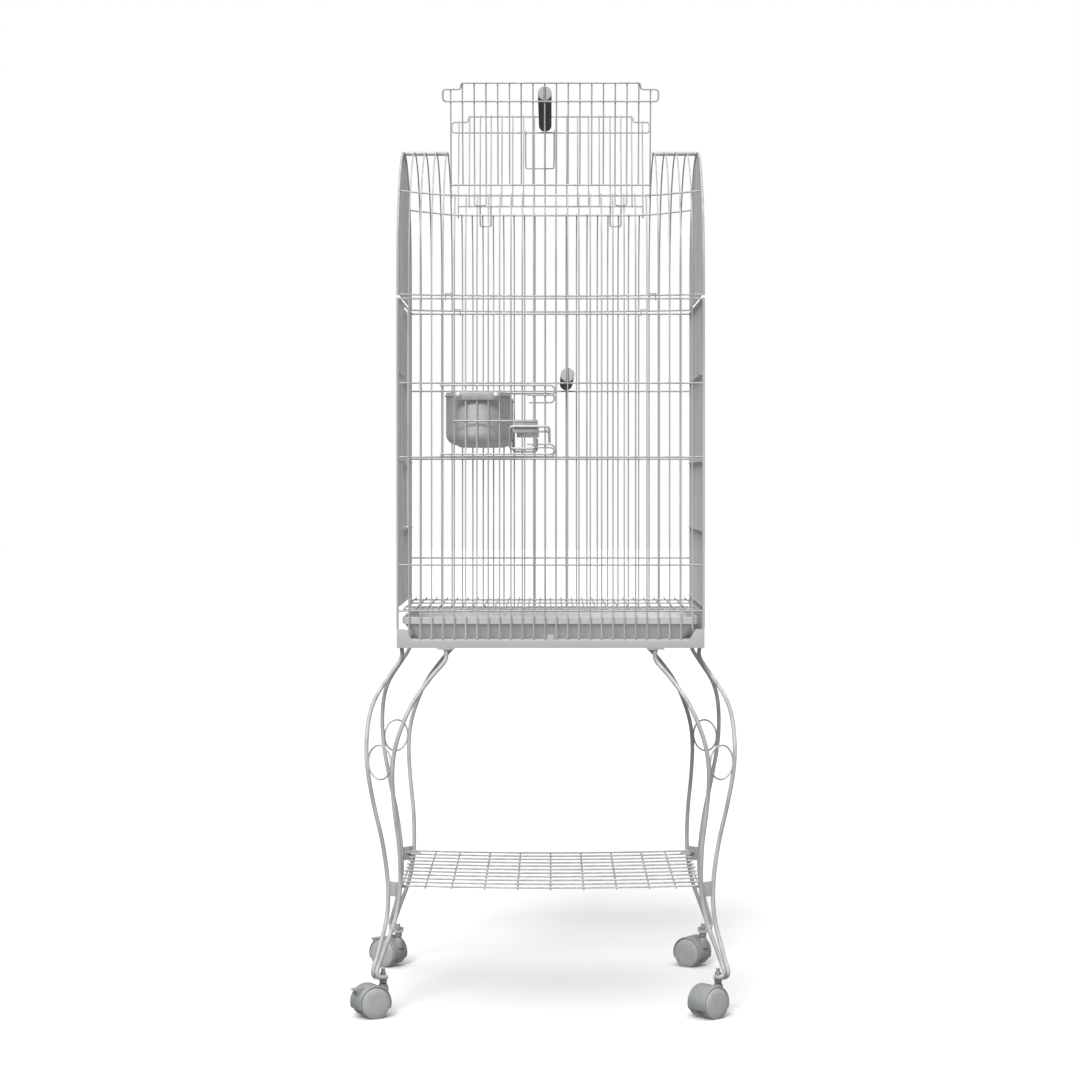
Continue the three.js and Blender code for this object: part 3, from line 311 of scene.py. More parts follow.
def perch_plastic_painted_shade():
    # ABS, extruded, with long shallow draw lines. Its dark base colour is painted shade: it stands in for
    # the shade on the perch's underside, so the body reads darker than its pale end discs.
    return finish("Extruded ABS in painted shade", bpy.context.scene.cage_colours.perch, 0.68, ior=1.54,
                  grain=(2, 60, 2), bump=0.15, spread=0.08, tone=(3, 40, 3, 0.15))


def disc_plastic():
    # Moulded ABS end cap: pale and satin.
    return finish("Moulded ABS", bpy.context.scene.cage_colours.disc, 0.4, ior=1.54,
                  grain=(6, 6, 6), bump=0.03, spread=0.04, tone=(8, 8, 8, 0.03))


def stainless():
    # Spun stainless steel: fine rings round the bowl that blur its reflections.
    return finish("Spun stainless steel", bpy.context.scene.cage_colours.steel, 0.7, metallic=1,
                  grain=(40, 40, 1.2), bump=0.04, spread=0.04, tone=(60, 60, 1.6, 0.05))


def zinc():
    # Bright zinc plating: a pale metal with soft reflections.
    return finish("Bright zinc plating", bpy.context.scene.cage_colours.zinc, 0.48, metallic=0.8,
                  grain=(5, 5, 5), bump=0.04, spread=0.06, tone=(9, 9, 9, 0.08))


def caster_plastic():
    # Moulded nylon hood: mid grey and satin.
    return finish("Moulded nylon", bpy.context.scene.cage_colours.caster, 0.42, ior=1.53,
                  grain=(5, 5, 5), bump=0.06, spread=0.06, tone=(14, 14, 14, 0.05))


def wheel_plastic():
    # Polypropylene wheel: a little lighter and duller than the hood.
    return finish("Moulded polypropylene", bpy.context.scene.cage_colours.wheel, 0.5, ior=1.49,
                  grain=(5, 5, 5), bump=0.05, spread=0.05, tone=(14, 14, 14, 0.05))


# ------------------------------------------------------------------ wires
def wire_tree():
    """Sweeps a circle along every strand, as thick as its points say."""
    name = "Round wires"
    if name in bpy.data.node_groups:
        return bpy.data.node_groups[name]
    tree = bpy.data.node_groups.new(name, "GeometryNodeTree")
    face = tree.interface
    face.new_socket("Strands", in_out="INPUT", socket_type="NodeSocketGeometry")
    face.new_socket("Sides", in_out="INPUT", socket_type="NodeSocketInt")
    face.new_socket("Finish", in_out="INPUT", socket_type="NodeSocketMaterial")
    face.new_socket("Wires", in_out="OUTPUT", socket_type="NodeSocketGeometry")
    start = add(tree, "NodeGroupInput").outputs
    thick = add(tree, "GeometryNodeInputNamedAttribute", [("Name", "thickness")], data_type="FLOAT")
    curve = add(tree, "GeometryNodeMeshToCurve", [("Mesh", start["Strands"])])
    circle = add(tree, "GeometryNodeCurvePrimitiveCircle", [
        ("Resolution", start["Sides"]), ("Radius", 0.5)])
    sweep = add(tree, "GeometryNodeCurveToMesh", [
        ("Curve", curve.outputs["Curve"]), ("Profile Curve", circle.outputs["Curve"]),
        ("Scale", thick.outputs["Attribute"]), ("Fill Caps", True)])
    real = add(tree, "GeometryNodeRealizeInstances", [("Geometry", sweep.outputs["Mesh"])])
    painted = add(tree, "GeometryNodeSetMaterial", [
        ("Geometry", real.outputs["Geometry"]), ("Material", start["Finish"])])
    add(tree, "NodeGroupOutput", [("Wires", painted.outputs["Geometry"])])
    return tree


def world_point(point):
    return (point[0] * MM + CENTRE.x, point[1] * MM + CENTRE.y, point[2] * MM)


def wire_mesh(name, strands, material):
    """Strands are (points, diameter) or (points, diameter, True) for a closed loop."""
    verts, edges, thickness = [], [], []
    for points, diameter, *closed in strands:
        first = len(verts)
        verts += [world_point(p) for p in points]
        thickness += [diameter * MM] * len(points)
        edges += [(first + i, first + i + 1) for i in range(len(points) - 1)]
        if closed:
            edges.append((len(verts) - 1, first))
    mesh = bpy.data.meshes.new(name)
    mesh.from_pydata(verts, edges, [])
    mesh.attributes.new("thickness", "FLOAT", "POINT").data.foreach_set("value", thickness)
    obj = bpy.data.objects.new(name, mesh)
    bpy.context.collection.objects.link(obj)
    tree = wire_tree()
    modifier = obj.modifiers.new("Wires", "NODES")
    modifier.node_group = tree
    keys = {item.name: item.identifier for item in tree.interface.items_tree}
    modifier[keys["Sides"]] = WIRE_SIDES
    modifier[keys["Finish"]] = material
    graph = bpy.context.evaluated_depsgraph_get()
    plain = bpy.data.meshes.new_from_object(obj.evaluated_get(graph))
    bpy.data.objects.remove(obj)
    bpy.data.meshes.remove(mesh)
    return plain


# ------------------------------------------------------------------ solids: (points, faces) in mm
def block(low, high):
    points = [(x, y, z) for x in (low[0], high[0]) for y in (low[1], high[1]) for z in (low[2], high[2])]
    faces = [(0, 1, 3, 2), (4, 6, 7, 5), (0, 4, 5, 1), (2, 3, 7, 6), (0, 2, 6, 4), (1, 5, 7, 3)]
    return points, faces


def lofted(rings, closed=False):
    """Joins rings of points, all of one length, into a solid with flat ends."""
    count = len(rings[0])
    points = [p for ring in rings for p in ring]
    spans = len(rings) if closed else len(rings) - 1
    faces = []
    for k in range(spans):
        here, there = k * count, ((k + 1) % len(rings)) * count
        for i in range(count):
            j = (i + 1) % count
            faces.append((here + i, here + j, there + j, there + i))
    if not closed:
        last = (len(rings) - 1) * count
        faces.append(tuple(reversed(range(count))))
        faces.append(tuple(range(last, last + count)))
    return points, faces


def turned(profile, steps=48):
    """Turns (radius, height) points about the z axis. The profile starts and ends on the axis,
    or is a closed outline clear of it."""
    turns = [2 * math.pi * i / steps for i in range(steps)]
    return [[(radius * math.cos(t), radius * math.sin(t), height) for t in turns]
            for radius, height in profile]


def rod(radius, low, high, steps=24):
    return lofted(turned([(radius, low), (radius, high)], steps))


def prism(outline, depth):
    """A flat outline in x and y, from z = 0 up."""
    return lofted([[(x, y, z) for x, y in outline] for z in (0, depth)])


def moved(solid, matrix):
    points, faces = solid
    return [tuple(matrix @ Vector(p)) for p in points], faces


def shifted(solid, x, y, z):
    return moved(solid, Matrix.Translation((x, y, z)))


def tipped(solid):
    """Turns +z to -y."""
    return moved(solid, Matrix.Rotation(math.pi / 2, 4, "X"))


def cut_away(mesh, solids):
    """Cuts solids out of a mesh."""
    points, faces = [], []
    for some_points, some_faces in solids:
        faces += [tuple(len(points) + i for i in face) for face in some_faces]
        points += [world_point(p) for p in some_points]
    knife_mesh = bpy.data.meshes.new("knife")
    knife_mesh.from_pydata(points, [], faces)
    knife = bpy.data.objects.new("knife", knife_mesh)
    obj = bpy.data.objects.new("blank", mesh)
    for item in (knife, obj):
        bpy.context.collection.objects.link(item)
    modifier = obj.modifiers.new("Cut", "BOOLEAN")
    modifier.object, modifier.operation, modifier.solver = knife, "DIFFERENCE", "EXACT"
    graph = bpy.context.evaluated_depsgraph_get()
    result = bpy.data.meshes.new_from_object(obj.evaluated_get(graph))
    bpy.data.objects.remove(obj)
    bpy.data.objects.remove(knife)
    bpy.data.meshes.remove(knife_mesh)
    return result


def bevel_edges(shape, sharper_than, width):
    """Rounds the edges sharper than an angle in degrees, by a width in mm."""
    limit = math.radians(sharper_than)
    sharp = [e for e in shape.edges if e.is_manifold and e.calc_face_angle(0) > limit]
    bmesh.ops.bevel(shape, geom=sharp, offset=width * MM, segments=2, affect="EDGES", profile=0.7)


def piece(name, body, nodes, strands=(), solids=(), material=None, bevel=0.0, smooth=40, cuts=()):
    """Makes one object of wires and solids, with its place in its mesh."""
    shape = bmesh.new()
    if strands:
        swept = wire_mesh(name, strands, material)
        shape.from_mesh(swept)
        bpy.data.meshes.remove(swept)
    if solids:
        extra = bmesh.new()
        for points, faces in solids:
            corners = [extra.verts.new(world_point(p)) for p in points]
            for face in faces:
                extra.faces.new([corners[i] for i in face])
        bmesh.ops.remove_doubles(extra, verts=extra.verts, dist=1e-6)
        bmesh.ops.recalc_face_normals(extra, faces=extra.faces)
        if bevel:
            bevel_edges(extra, smooth, bevel)
        held = bpy.data.meshes.new(name)
        extra.to_mesh(held)
        extra.free()
        shape.from_mesh(held)
        bpy.data.meshes.remove(held)
    mesh = bpy.data.meshes.new(name)
    shape.to_mesh(mesh)
    shape.free()
    if cuts:
        mesh = cut_away(mesh, cuts)
    mesh.materials.clear()
    mesh.materials.append(material)
    mesh.shade_smooth()
    mesh.set_sharp_from_angle(angle=math.radians(smooth))
    obj = bpy.data.objects.new(name, mesh)
    bpy.context.collection.objects.link(obj)
    if nodes:
        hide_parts(*nodes)
    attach(obj, body)
    return obj


# ------------------------------------------------------------------ bends
def rounded(points, radius, steps=4, closed=False):
    """Rounds the corners of a path."""
    points = [Vector(p) for p in points]
    count = len(points)
    out = []
    for i, point in enumerate(points):
        if not closed and i in (0, count - 1):
            out.append(point)
            continue
        before, after = points[i - 1], points[(i + 1) % count]
        back, ahead = before - point, after - point
        reach = min(radius, back.length * 0.49, ahead.length * 0.49)
        first = point + back.normalized() * reach
        last = point + ahead.normalized() * reach
        for k in range(steps + 1):
            t = k / steps
            out.append(first * (1 - t) ** 2 + point * 2 * t * (1 - t) + last * t ** 2)
    return out


def arc_point(x, degrees, side=-1, radius=None):
    turn = math.radians(degrees)
    reach = radius or ARC_R
    return (x, side * reach * math.cos(turn), ARC_Z + reach * math.sin(turn))


# Each wall is laid out flat (along, out, up) and stood in its place.
WALLS = {
    "front": lambda along, out, up: (along, -HALF_D - out, up),
    "back": lambda along, out, up: (along, HALF_D + out, up),
    "left": lambda along, out, up: (-HALF_W - out, along, up),
    "right": lambda along, out, up: (HALF_W + out, along, up),
}


def stand_up(side, strands):
    place = WALLS[side]
    return [([place(*p) for p in points], *rest) for points, *rest in strands]


def bar(along, low, high, diameter, out=0):
    return [(along, out, low), (along, out, high)], diameter


def row(start, end, up, out=None):
    level = -row_in() if out is None else out
    return [(start, level, up), (end, level, up)], row_d()


# ------------------------------------------------------------------ walls
def front_strands():
    top = WALL_TOP + row_d() / 2
    foot = LEDGE_TOP + GAP
    short_foot = BASE_TOP + GUSSET_H + 0.6
    last = (GAPS_X + 1) // 2
    strands = [bar(side * HALF_W, short_foot, top, sizes().edge / MM) for side in (-1, 1)]
    for k in [k for k in range(1 - last, last) if k]:
        low = short_foot if abs(k) == last - 1 else foot
        if FEEDER_COLUMNS[0] < k < FEEDER_COLUMNS[1]:
            strands.append(bar(column(k), low, FEEDER_LOW + row_d() / 2, infill_d()))
            strands.append(bar(column(k), FEEDER_HIGH - row_d() / 2, top, infill_d()))
        else:
            strands.append(bar(column(k), low, top, infill_d()))
    for height in [BASE_TOP + h for h in FRONT_ROWS] + [WALL_TOP]:
        strands.append(row(-HALF_W - 1, HALF_W + 1, height))
    return strands


def side_strands(with_door):
    top = WALL_TOP + row_d() / 2
    sill = BASE_TOP + SIDE_ROWS[1]
    low = BASE_TOP + SIDE_ROWS[0] - row_d() / 2 if with_door else LEDGE_TOP + GAP
    end_low = low if with_door else BASE_TOP + GUSSET_H + 0.6
    strands = [bar(side * SIDE_END, end_low, top, sizes().edge * 0.9 / MM) for side in (-1, 1)]
    for k in range(1 - SIDE_STEPS, SIDE_STEPS):
        cut = with_door and MAIN_COLUMNS[0] < k < MAIN_COLUMNS[1]
        strands.append(bar(k * SIDE_PITCH, low, sill + row_d() / 2 if cut else top, infill_d()))
    opening = [k * SIDE_PITCH for k in MAIN_COLUMNS]
    for i, height in enumerate(SIDE_ROWS):
        spans = [(-SIDE_END - 1, SIDE_END + 1)]
        if with_door and i >= 2:
            spans = [(-SIDE_END - 1, opening[0] + 0.5), (opening[1] - 0.5, SIDE_END + 1)]
        strands += [row(start, end, BASE_TOP + height) for start, end in spans]
    strands.append(row(-SIDE_END - 1, SIDE_END + 1, WALL_TOP))
    return strands


class CAGE_OT_walls(bpy.types.Operator):
    """Four wire walls"""

    bl_idname = "cage.walls"
    bl_label = "Walls"

    def execute(self, context):
        for side in WALLS:
            node = f"{side}_panel"
            strands = front_strands() if side in ("front", "back") else side_strands(side == "left")
            piece(f"{side}_wires", "frame", [node], strands=stand_up(side, strands),
                  material=powder_coat())
        return {"FINISHED"}


# ------------------------------------------------------------------ roof
def vault_strands(side):
    """One half of the vault: side is -1 for the front, 1 for the back."""
    last = (GAPS_X + 1) // 2
    over_end = 90 - math.degrees((RIDGE_D / 2 + 0.2) / ARC_R)
    past_hinge = HINGE_ANGLE + 0.4
    dip = [(x, VAULT_FOOT - VAULT_BOW * (1 - (x / HALF_W) ** 2)) for x in
           [HALF_W * (i / 8 - 1) for i in range(17)]]
    foot_z = dict(dip)
    strands = []
    for k in [k for k in range(-last, last + 1) if k]:
        x = column(k)
        end = over_end if abs(k) >= -FEEDER_COLUMNS[0] else past_hinge
        steps = max(6, int(end / 5))
        foot = VAULT_FOOT - VAULT_BOW * (1 - min(1, abs(x) / HALF_W) ** 2) - row_d() / 2
        path = [(x, side * ARC_R, foot)] + [arc_point(x, end * i / steps, side) for i in range(steps + 1)]
        strands.append((path, sizes().edge / MM if abs(k) == last else infill_d()))
    reach = ARC_R - row_in()
    strands.append(([(x * (HALF_W + 1) / HALF_W, side * reach, foot_z[x]) for x, _ in dip], row_d()))
    corner = math.degrees(math.asin(math.sin(math.radians(HINGE_ANGLE)) + HINGE_BOW / ARC_R))
    bowed = -(column(FEEDER_COLUMNS[0]) + PITCH / 2)
    path = [(-HALF_W - 1, corner), (-bowed, HINGE_ANGLE), (bowed, HINGE_ANGLE), (HALF_W + 1, corner)]
    hinge = rounded([arc_point(x, turn, side, reach) for x, turn in path], 30, 6)
    strands.append((hinge, row_d()))
    return strands


def arch_strands():
    ridge = RIDGE_D / 2
    rim = ARC_R - ridge - row_d() / 2 - 0.6
    foot = VAULT_FOOT + 3.8
    curve = [arc_point(0, 180 * i / 36, -1, rim) for i in range(37)]
    loop = [(0, -rim, foot)] + curve + [(0, rim, foot)]
    strands = [([(0, y, z) for _, y, z in loop], row_d(), True)]
    for k in range(1 - SIDE_STEPS, SIDE_STEPS):
        y = k * SIDE_PITCH
        strands.append(([(0, y, foot), (0, y, ARC_Z + math.sqrt(rim ** 2 - y ** 2))], infill_d()))
    return strands


def clip_path(x, side):
    half = 5.2
    inner = HALF_D - row_in() - row_d() / 2 - CLIP_D / 2 - 0.2
    lip = HALF_D - 0.2
    high = VAULT_FOOT + row_d() / 2 + CLIP_D / 2 - 1
    low = WALL_TOP - row_d() / 2 - CLIP_D / 2 - 0.2
    edge = [(half, lip, low), (half, inner, low), (half, inner, high), (half, lip, high)]
    path = edge + [(-px, py, pz) for px, py, pz in reversed(edge)]
    return rounded([(x + px, side * py, pz) for px, py, pz in path], 1.5)


class CAGE_OT_roof(bpy.types.Operator):
    """Vault, end walls, ridge bars and clips"""

    bl_idname = "cage.roof"
    bl_label = "Roof"

    def execute(self, context):
        coat = powder_coat()
        for name, side in (("front", -1), ("back", 1)):
            piece(f"{name}_vault_wires", "frame", [f"{name}_vault"],
                  strands=vault_strands(side), material=coat)
            for end, sign in (("left", -1), ("right", 1)):
                x = sign * (-column(FEEDER_COLUMNS[0]) - PITCH / 2)
                piece(f"{name}_{end}_clip_wire", "frame", [f"{name}_{end}_clip"],
                      strands=[(clip_path(x, side), CLIP_D)], material=coat)
        for end, sign in (("left", -1), ("right", 1)):
            strands = [([(sign * HALF_W, y, z) for _, y, z in points], *rest)
                       for points, *rest in arch_strands()]
            piece(f"{end}_arch_wires", "frame", [f"{end}_arch"], strands=strands,
                  material=coat)
            low, high = span(f"{end}_ridge_bar")
            ends = [(low.x, 0, ARC_Z + ARC_R), (high.x, 0, ARC_Z + ARC_R)]
            piece(f"{end}_ridge_rod", "frame", [f"{end}_ridge_bar"],
                  strands=[(ends, RIDGE_D)], material=coat)
        return {"FINISHED"}


# ------------------------------------------------------------------ flaps
def flap_half():
    return (FLAP_HALF_COUNT - 0.5) * FLAP_PITCH


def flap_wire(index):
    return (index + (0.5 if index < 0 else -0.5)) * FLAP_PITCH


def lean(side, x, along, out):
    """A point of the open flap: along it from the hinge line, and out of it."""
    turn = math.radians(FLAP_LEAN)
    reach = ARC_R - row_in()
    hinge_y = reach * math.cos(math.radians(HINGE_ANGLE))
    hinge_z = ARC_Z + reach * math.sin(math.radians(HINGE_ANGLE))
    y = hinge_y + along * math.sin(turn) + out * math.cos(turn)
    return (x, side * y, hinge_z + along * math.cos(turn) - out * math.sin(turn))


def flap_strands(side):
    half, out = flap_half(), row_in()
    ear_x, ear_z = half + EAR[0], FLAP_HANDLE + EAR[1]
    step = half - HANDLE_IN
    edge = [(ear_x, FLAP_HANDLE), (ear_x, ear_z), (step, ear_z), (step, FLAP_TOP)]
    loop = [(x, z) for x, z in edge] + [(-x, z) for x, z in reversed(edge)]
    path = rounded([(x, out, z) for x, z in loop], 6, 5, closed=True)
    strands = [(path, row_d(), True)]
    for index in [i for i in range(-FLAP_HALF_COUNT, FLAP_HALF_COUNT + 1) if i]:
        x = flap_wire(index)
        top = FLAP_HANDLE + EAR[1] if abs(index) == FLAP_HALF_COUNT else FLAP_TOP
        strands.append(([(x, 0, FLAP_FOOT - 1.2), (x, 0, top + row_d() / 2)], infill_d()))
    strands.append(([(-half - 1, out, FLAP_FOOT), (half + 1, out, FLAP_FOOT)], row_d()))
    low = FLAP_FOOT - PROP_REACH
    for sign in (-1, 1):
        near, far = (flap_wire(sign * i) for i in PROP_WIRES)
        legs = [(0, FLAP_FOOT + 8), (1.5, FLAP_FOOT - 1), (PROP_OUT * 0.6, FLAP_FOOT - 12), (PROP_OUT, low)]
        path = [(near, o, z) for o, z in legs] + [(far, o, z) for o, z in reversed(legs)]
        strands.append((rounded(path, 4, 4), infill_d()))
        curl = [(3.6 * math.cos(math.radians(a)), 3.6 * math.sin(math.radians(a)))
                for a in range(10, -190, -20)]
        hook = [(0, FLAP_FOOT + 1), (3.6, FLAP_FOOT - 7)] + curl
        strands.append(([(sign * half, o, z) for o, z in hook], infill_d()))
    return [([lean(side, x, z, o) for x, o, z in points], *rest) for points, *rest in strands]


def lock_strands():
    left, right, length = LOCK
    _, y, z = lean(1, 0, FLAP_HANDLE, row_in())
    eye = 3.9
    strands = []
    for x in (left, right):
        ring = [(x, y + eye * math.cos(math.radians(a)), z + eye * math.sin(math.radians(a)))
                for a in range(0, 360, 24)]
        strands.append((ring, infill_d(), True))
    kink = length - 12
    path = [(left, -eye), (left, -kink), (left + 0.8, -kink - 2), (left, -length), (right, -length),
            (right - 0.8, -kink - 2), (right, -kink), (right, -eye)]
    strands.append((rounded([(x, y, z + drop) for x, drop in path], 4, 4), infill_d()))
    return strands


class CAGE_OT_flaps(bpy.types.Operator):
    """Two open roof flaps and the lock loop"""

    bl_idname = "cage.flaps"
    bl_label = "Roof flaps"

    def execute(self, context):
        for name, side in (("front", -1), ("back", 1)):
            piece(f"{name}_flap_wires", "frame", [f"{name}_flap"],
                  strands=flap_strands(side), material=powder_coat())
        piece("roof_lock_wire", "roof_lock_loop", ["roof_lock"], strands=lock_strands(),
              material=powder_coat())
        return {"FINISHED"}


# ------------------------------------------------------------------ perches
class CAGE_OT_perches(bpy.types.Operator):
    """Perches with pale end discs"""

    bl_idname = "cage.perches"
    bl_label = "Perches"

    def execute(self, context):
        for node in ("top_perch", "inner_perch"):
            low, high = span(node)
            middle = spot(node)
            radius = (high.z - low.z) / 2
            width, depth = PERCH_SLOT
            slots = [block((middle.x - width / 2, end - depth, low.z - 2),
                           (middle.x + width / 2, end + depth, high.z + 2)) for end in (low.y, high.y)]
            length = high.y - low.y
            body = rod(radius, PERCH_DISC - length / 2, length / 2 - PERCH_DISC, 64)
            piece(f"{node}_rod", f"{node}_rod", [node],
                  solids=[shifted(tipped(body), middle.x, middle.y, middle.z)], material=perch_plastic_painted_shade(),
                  cuts=slots)
            discs = []
            for start in (-length / 2, length / 2 - PERCH_DISC):
                disc = rod(radius, start, start + PERCH_DISC, 64)
                discs.append(shifted(tipped(disc), middle.x, middle.y, middle.z))
            piece(f"{node}_discs", f"{node}_rod", [], solids=discs,
                  material=disc_plastic(), bevel=0.5, cuts=slots)
        return {"FINISHED"}


# ------------------------------------------------------------------ doors
def door_row(up, hinge, end, back):
    """A row that hooks round the hinge upright and turns back at its free end."""
    out = DOOR_WIRE_OUT + row_in()
    curl = [(hinge - out * math.sin(math.radians(a)), -out * math.cos(math.radians(a)), up)
            for a in range(15, 181, 15)]
    bend = abs(back) / 2
    sign = 1 if back > 0 else -1
    turn = [(end - bend + bend * math.cos(math.radians(a)), out, up + back / 2 + sign * bend * math.sin(
        math.radians(a))) for a in range(-90, 91, 15)]
    return curl + [(hinge + 1, out, up)] + turn + [(end - 45.2, out, up + back)], row_d()


def door_strands(hinge, step_columns, rows, edge):
    top, bottom, across = rows
    out = DOOR_WIRE_OUT + row_in()
    strands = [bar(at, bottom - 1, top + 1, infill_d(), DOOR_WIRE_OUT) for at in step_columns]
    strands.append(door_row(top, hinge, edge + 16, -16.1))
    strands.append(door_row(bottom, hinge, edge + 16, 16.5))
    strands += [row(step_columns[0] - 1, step_columns[-1] + 1, up, out) for up in across]
    return strands


def wall_solid(side, solid):
    """Stands a solid drawn as (along, out, up) in its wall."""
    points, faces = solid
    return [WALLS[side](*p) for p in points], faces


def latch_back():
    return DOOR_WIRE_OUT + row_in() + row_d() / 2 + GAP


def latch_plate(side, at, up):
    width, height, thick = LATCH_PLATE
    lower, upper = LATCH_RIBS
    back = latch_back()
    front = back + thick
    low, high = up - height / 2, up + height / 2
    parts = [block((at, back, low), (at + width, front, high))]
    for start, end in ((low, low + lower), (high - upper, high)):
        slope = (end - start) * 0.175
        ridge = [(start, front - 0.2), (start + slope, front + thick), (end - slope, front + thick),
                 (end, front - 0.2)]
        parts.append(lofted([[(x, out, z) for z, out in ridge] for x in (at, at + width)]))
    return [wall_solid(side, part) for part in parts]


def latch_path(side, at, up):
    width, drop, past = LATCH_PULL
    finger, lip = LATCH_FINGER
    out = latch_back() + LATCH_PLATE[2] + GAP + LATCH_ROD_D / 2
    left, right = at - past, at + width - past
    corners = [(at + finger, up - lip), (at + finger, up), (left, up), (left, up - drop),
               (right, up - drop), (right, up - LATCH_PLATE[1] / 2 - 2.5)]
    return [WALLS[side](x, out, z) for x, _, z in rounded([(x, 0, z) for x, z in corners], 6.5, 6)]


def cup_solid(node):
    """A turned bowl with a rolled bead, sized by its node."""
    low, high = span(node)
    middle = spot(node)
    r = (high.x - low.x) / 2 - CUP_BEAD
    height = high.z - low.z
    corner, wall, bead = CUP_CORNER, CUP_WALL, CUP_BEAD
    bend = [math.radians(-90 + 10 * i) for i in range(10)]
    outer = [(r - corner + corner * math.cos(t), corner + corner * math.sin(t)) for t in bend]
    bore = corner - wall
    inner = [(r - corner + bore * math.cos(t), corner + bore * math.sin(t)) for t in bend]
    roll = [math.radians(-90 + 22.5 * i) for i in range(9)]
    bead_z = height - 5
    rim = [(r + bead * math.cos(t), bead_z + bead * math.sin(t)) for t in roll]
    lip = [(r, height - 0.6), (r - 0.4, height), (r - wall, height - 0.2)]
    outline = [(0.01, 0)] + outer + rim + lip + inner[::-1] + [(0.01, wall)]
    return shifted(lofted(turned(outline, 96), closed=True), middle.x, middle.y, low.z)


def holder_solids(side, node):
    height, plate, margin = HOLDER
    low, high = span(node)
    up = (low.z + high.z) / 2
    front = DOOR_WIRE_OUT + infill_d() / 2 + 0.1
    back = DOOR_WIRE_OUT - infill_d() / 2 - 0.1
    parts = [
        block((low.x, front, low.z), (high.x, front + plate, high.z)),
        block((low.x, back - plate, low.z), (high.x, back, high.z)),
    ]
    for x in (low.x + margin, high.x - margin):
        face = front + plate
        dome = [(0.01, face), (WASHER_D / 2, face), (WASHER_D / 2, face + 0.5), (WASHER_D * 0.4, face + 1),
                (WASHER_D * 0.28, face + 1), (WASHER_D * 0.26, face + 1.6), (0.01, face + 2.2)]
        for points, faces in (lofted(turned(dome, 40)), rod(2, back, face, 16)):
            parts.append(([(x + px, pz, up + py) for px, py, pz in points], faces))
    return [wall_solid(side, part) for part in parts]


class CAGE_OT_feeders(bpy.types.Operator):
    """Feeder doors with their cups, holders and latches"""

    bl_idname = "cage.feeders"
    bl_label = "Feeder doors"

    def execute(self, context):
        hinge, edge = (column(k) for k in FEEDER_COLUMNS)
        between = [column(k) for k in range(FEEDER_COLUMNS[0] + 1, FEEDER_COLUMNS[1])]
        rows = (FEEDER_HIGH - 3.9, FEEDER_LOW + 4.3, [FEEDER_LOW + 59])
        at = edge - 11.6 - LATCH_PLATE[0]
        for side in ("front", "back"):
            body = f"{side}_door"
            strands = stand_up(side, door_strands(hinge, between, rows, edge))
            piece(f"{side}_door_wires", body, [f"{side}_feeder_door"], strands=strands,
                  material=powder_coat())
            piece(f"{side}_cup_bowl", body, [f"{side}_cup"],
                  solids=[cup_solid(f"{side}_cup")], material=stainless())
            piece(f"{side}_holder", body, [f"{side}_cup_holder"],
                  solids=holder_solids(side, f"{side}_cup_holder"), material=zinc(), bevel=0.3)
            up = spot(f"{side}_latch_plate").z
            piece(f"{side}_latch_keeper", body, [f"{side}_latch_plate"],
                  solids=latch_plate(side, at, up), material=zinc(), bevel=0.3)
            piece(f"{side}_latch_bolt", f"{side}_latch_rod", [f"{side}_latch"],
                  strands=[(latch_path(side, at, up), LATCH_ROD_D)], material=zinc())
        return {"FINISHED"}


class CAGE_OT_main_door(bpy.types.Operator):
    """Main door in the left wall"""

    bl_idname = "cage.main_door"
    bl_label = "Main door"

    def execute(self, context):
        hinge, edge = (k * SIDE_PITCH for k in MAIN_COLUMNS)
        between = [k * SIDE_PITCH for k in range(MAIN_COLUMNS[0] + 1, MAIN_COLUMNS[1])]
        rows = (WALL_TOP - 3.9, BASE_TOP + SIDE_ROWS[1] + 4.3,
                [BASE_TOP + SIDE_ROWS[3], BASE_TOP + SIDE_ROWS[2]])
        strands = stand_up("left", door_strands(hinge, between, rows, edge))
        piece("main_door_wires", "side_door", ["main_door"], strands=strands,
              material=powder_coat())
        at = edge - 11.6 - LATCH_PLATE[0]
        up = spot("main_latch_plate").z
        piece("main_latch_keeper", "side_door", ["main_latch_plate"],
              solids=latch_plate("left", at, up), material=zinc(), bevel=0.3)
        piece("main_latch_bolt", "side_latch_rod", ["main_latch"],
              strands=[(latch_path("left", at, up), LATCH_ROD_D)], material=zinc())
        return {"FINISHED"}


# ------------------------------------------------------------------ tray and grate
def rounded_ring(half_x, half_y, radius, z, steps=8):
    ring = []
    for sx, sy, start in ((1, 1, 0), (-1, 1, 90), (-1, -1, 180), (1, -1, 270)):
        for i in range(steps + 1):
            turn = math.radians(start + 90 * i / steps)
            ring.append((sx * (half_x - radius) + radius * math.cos(turn),
                         sy * (half_y - radius) + radius * math.sin(turn), z))
    return ring


def tray_solid():
    """One closed skin: outside wall, rim, inside wall and floor."""
    low, high = span("tray")
    rim_x, rim_y = (high.x - low.x) / 2, (high.y - low.y) / 2
    body_x, body_y = rim_x - 3, rim_y - 3
    under, top, floor = high.z - 11, high.z, low.z
    wall = 2
    foot_x, foot_y = body_x - 18.5, body_y - 16.5
    rings = [
        rounded_ring(foot_x, foot_y, 10, floor), rounded_ring(body_x, body_y, 12, under),
        rounded_ring(rim_x, rim_y, 14, under), rounded_ring(rim_x, rim_y, 14, top - 1),
        rounded_ring(rim_x - 1, rim_y - 1, 13, top),
        rounded_ring(body_x - wall + 1, body_y - wall + 1, 12, top),
        rounded_ring(body_x - wall, body_y - wall, 11, top - 1),
        rounded_ring(body_x - wall, body_y - wall, 11, under),
        rounded_ring(foot_x - wall, foot_y - wall, 9, floor + wall),
    ]
    return lofted(rings)


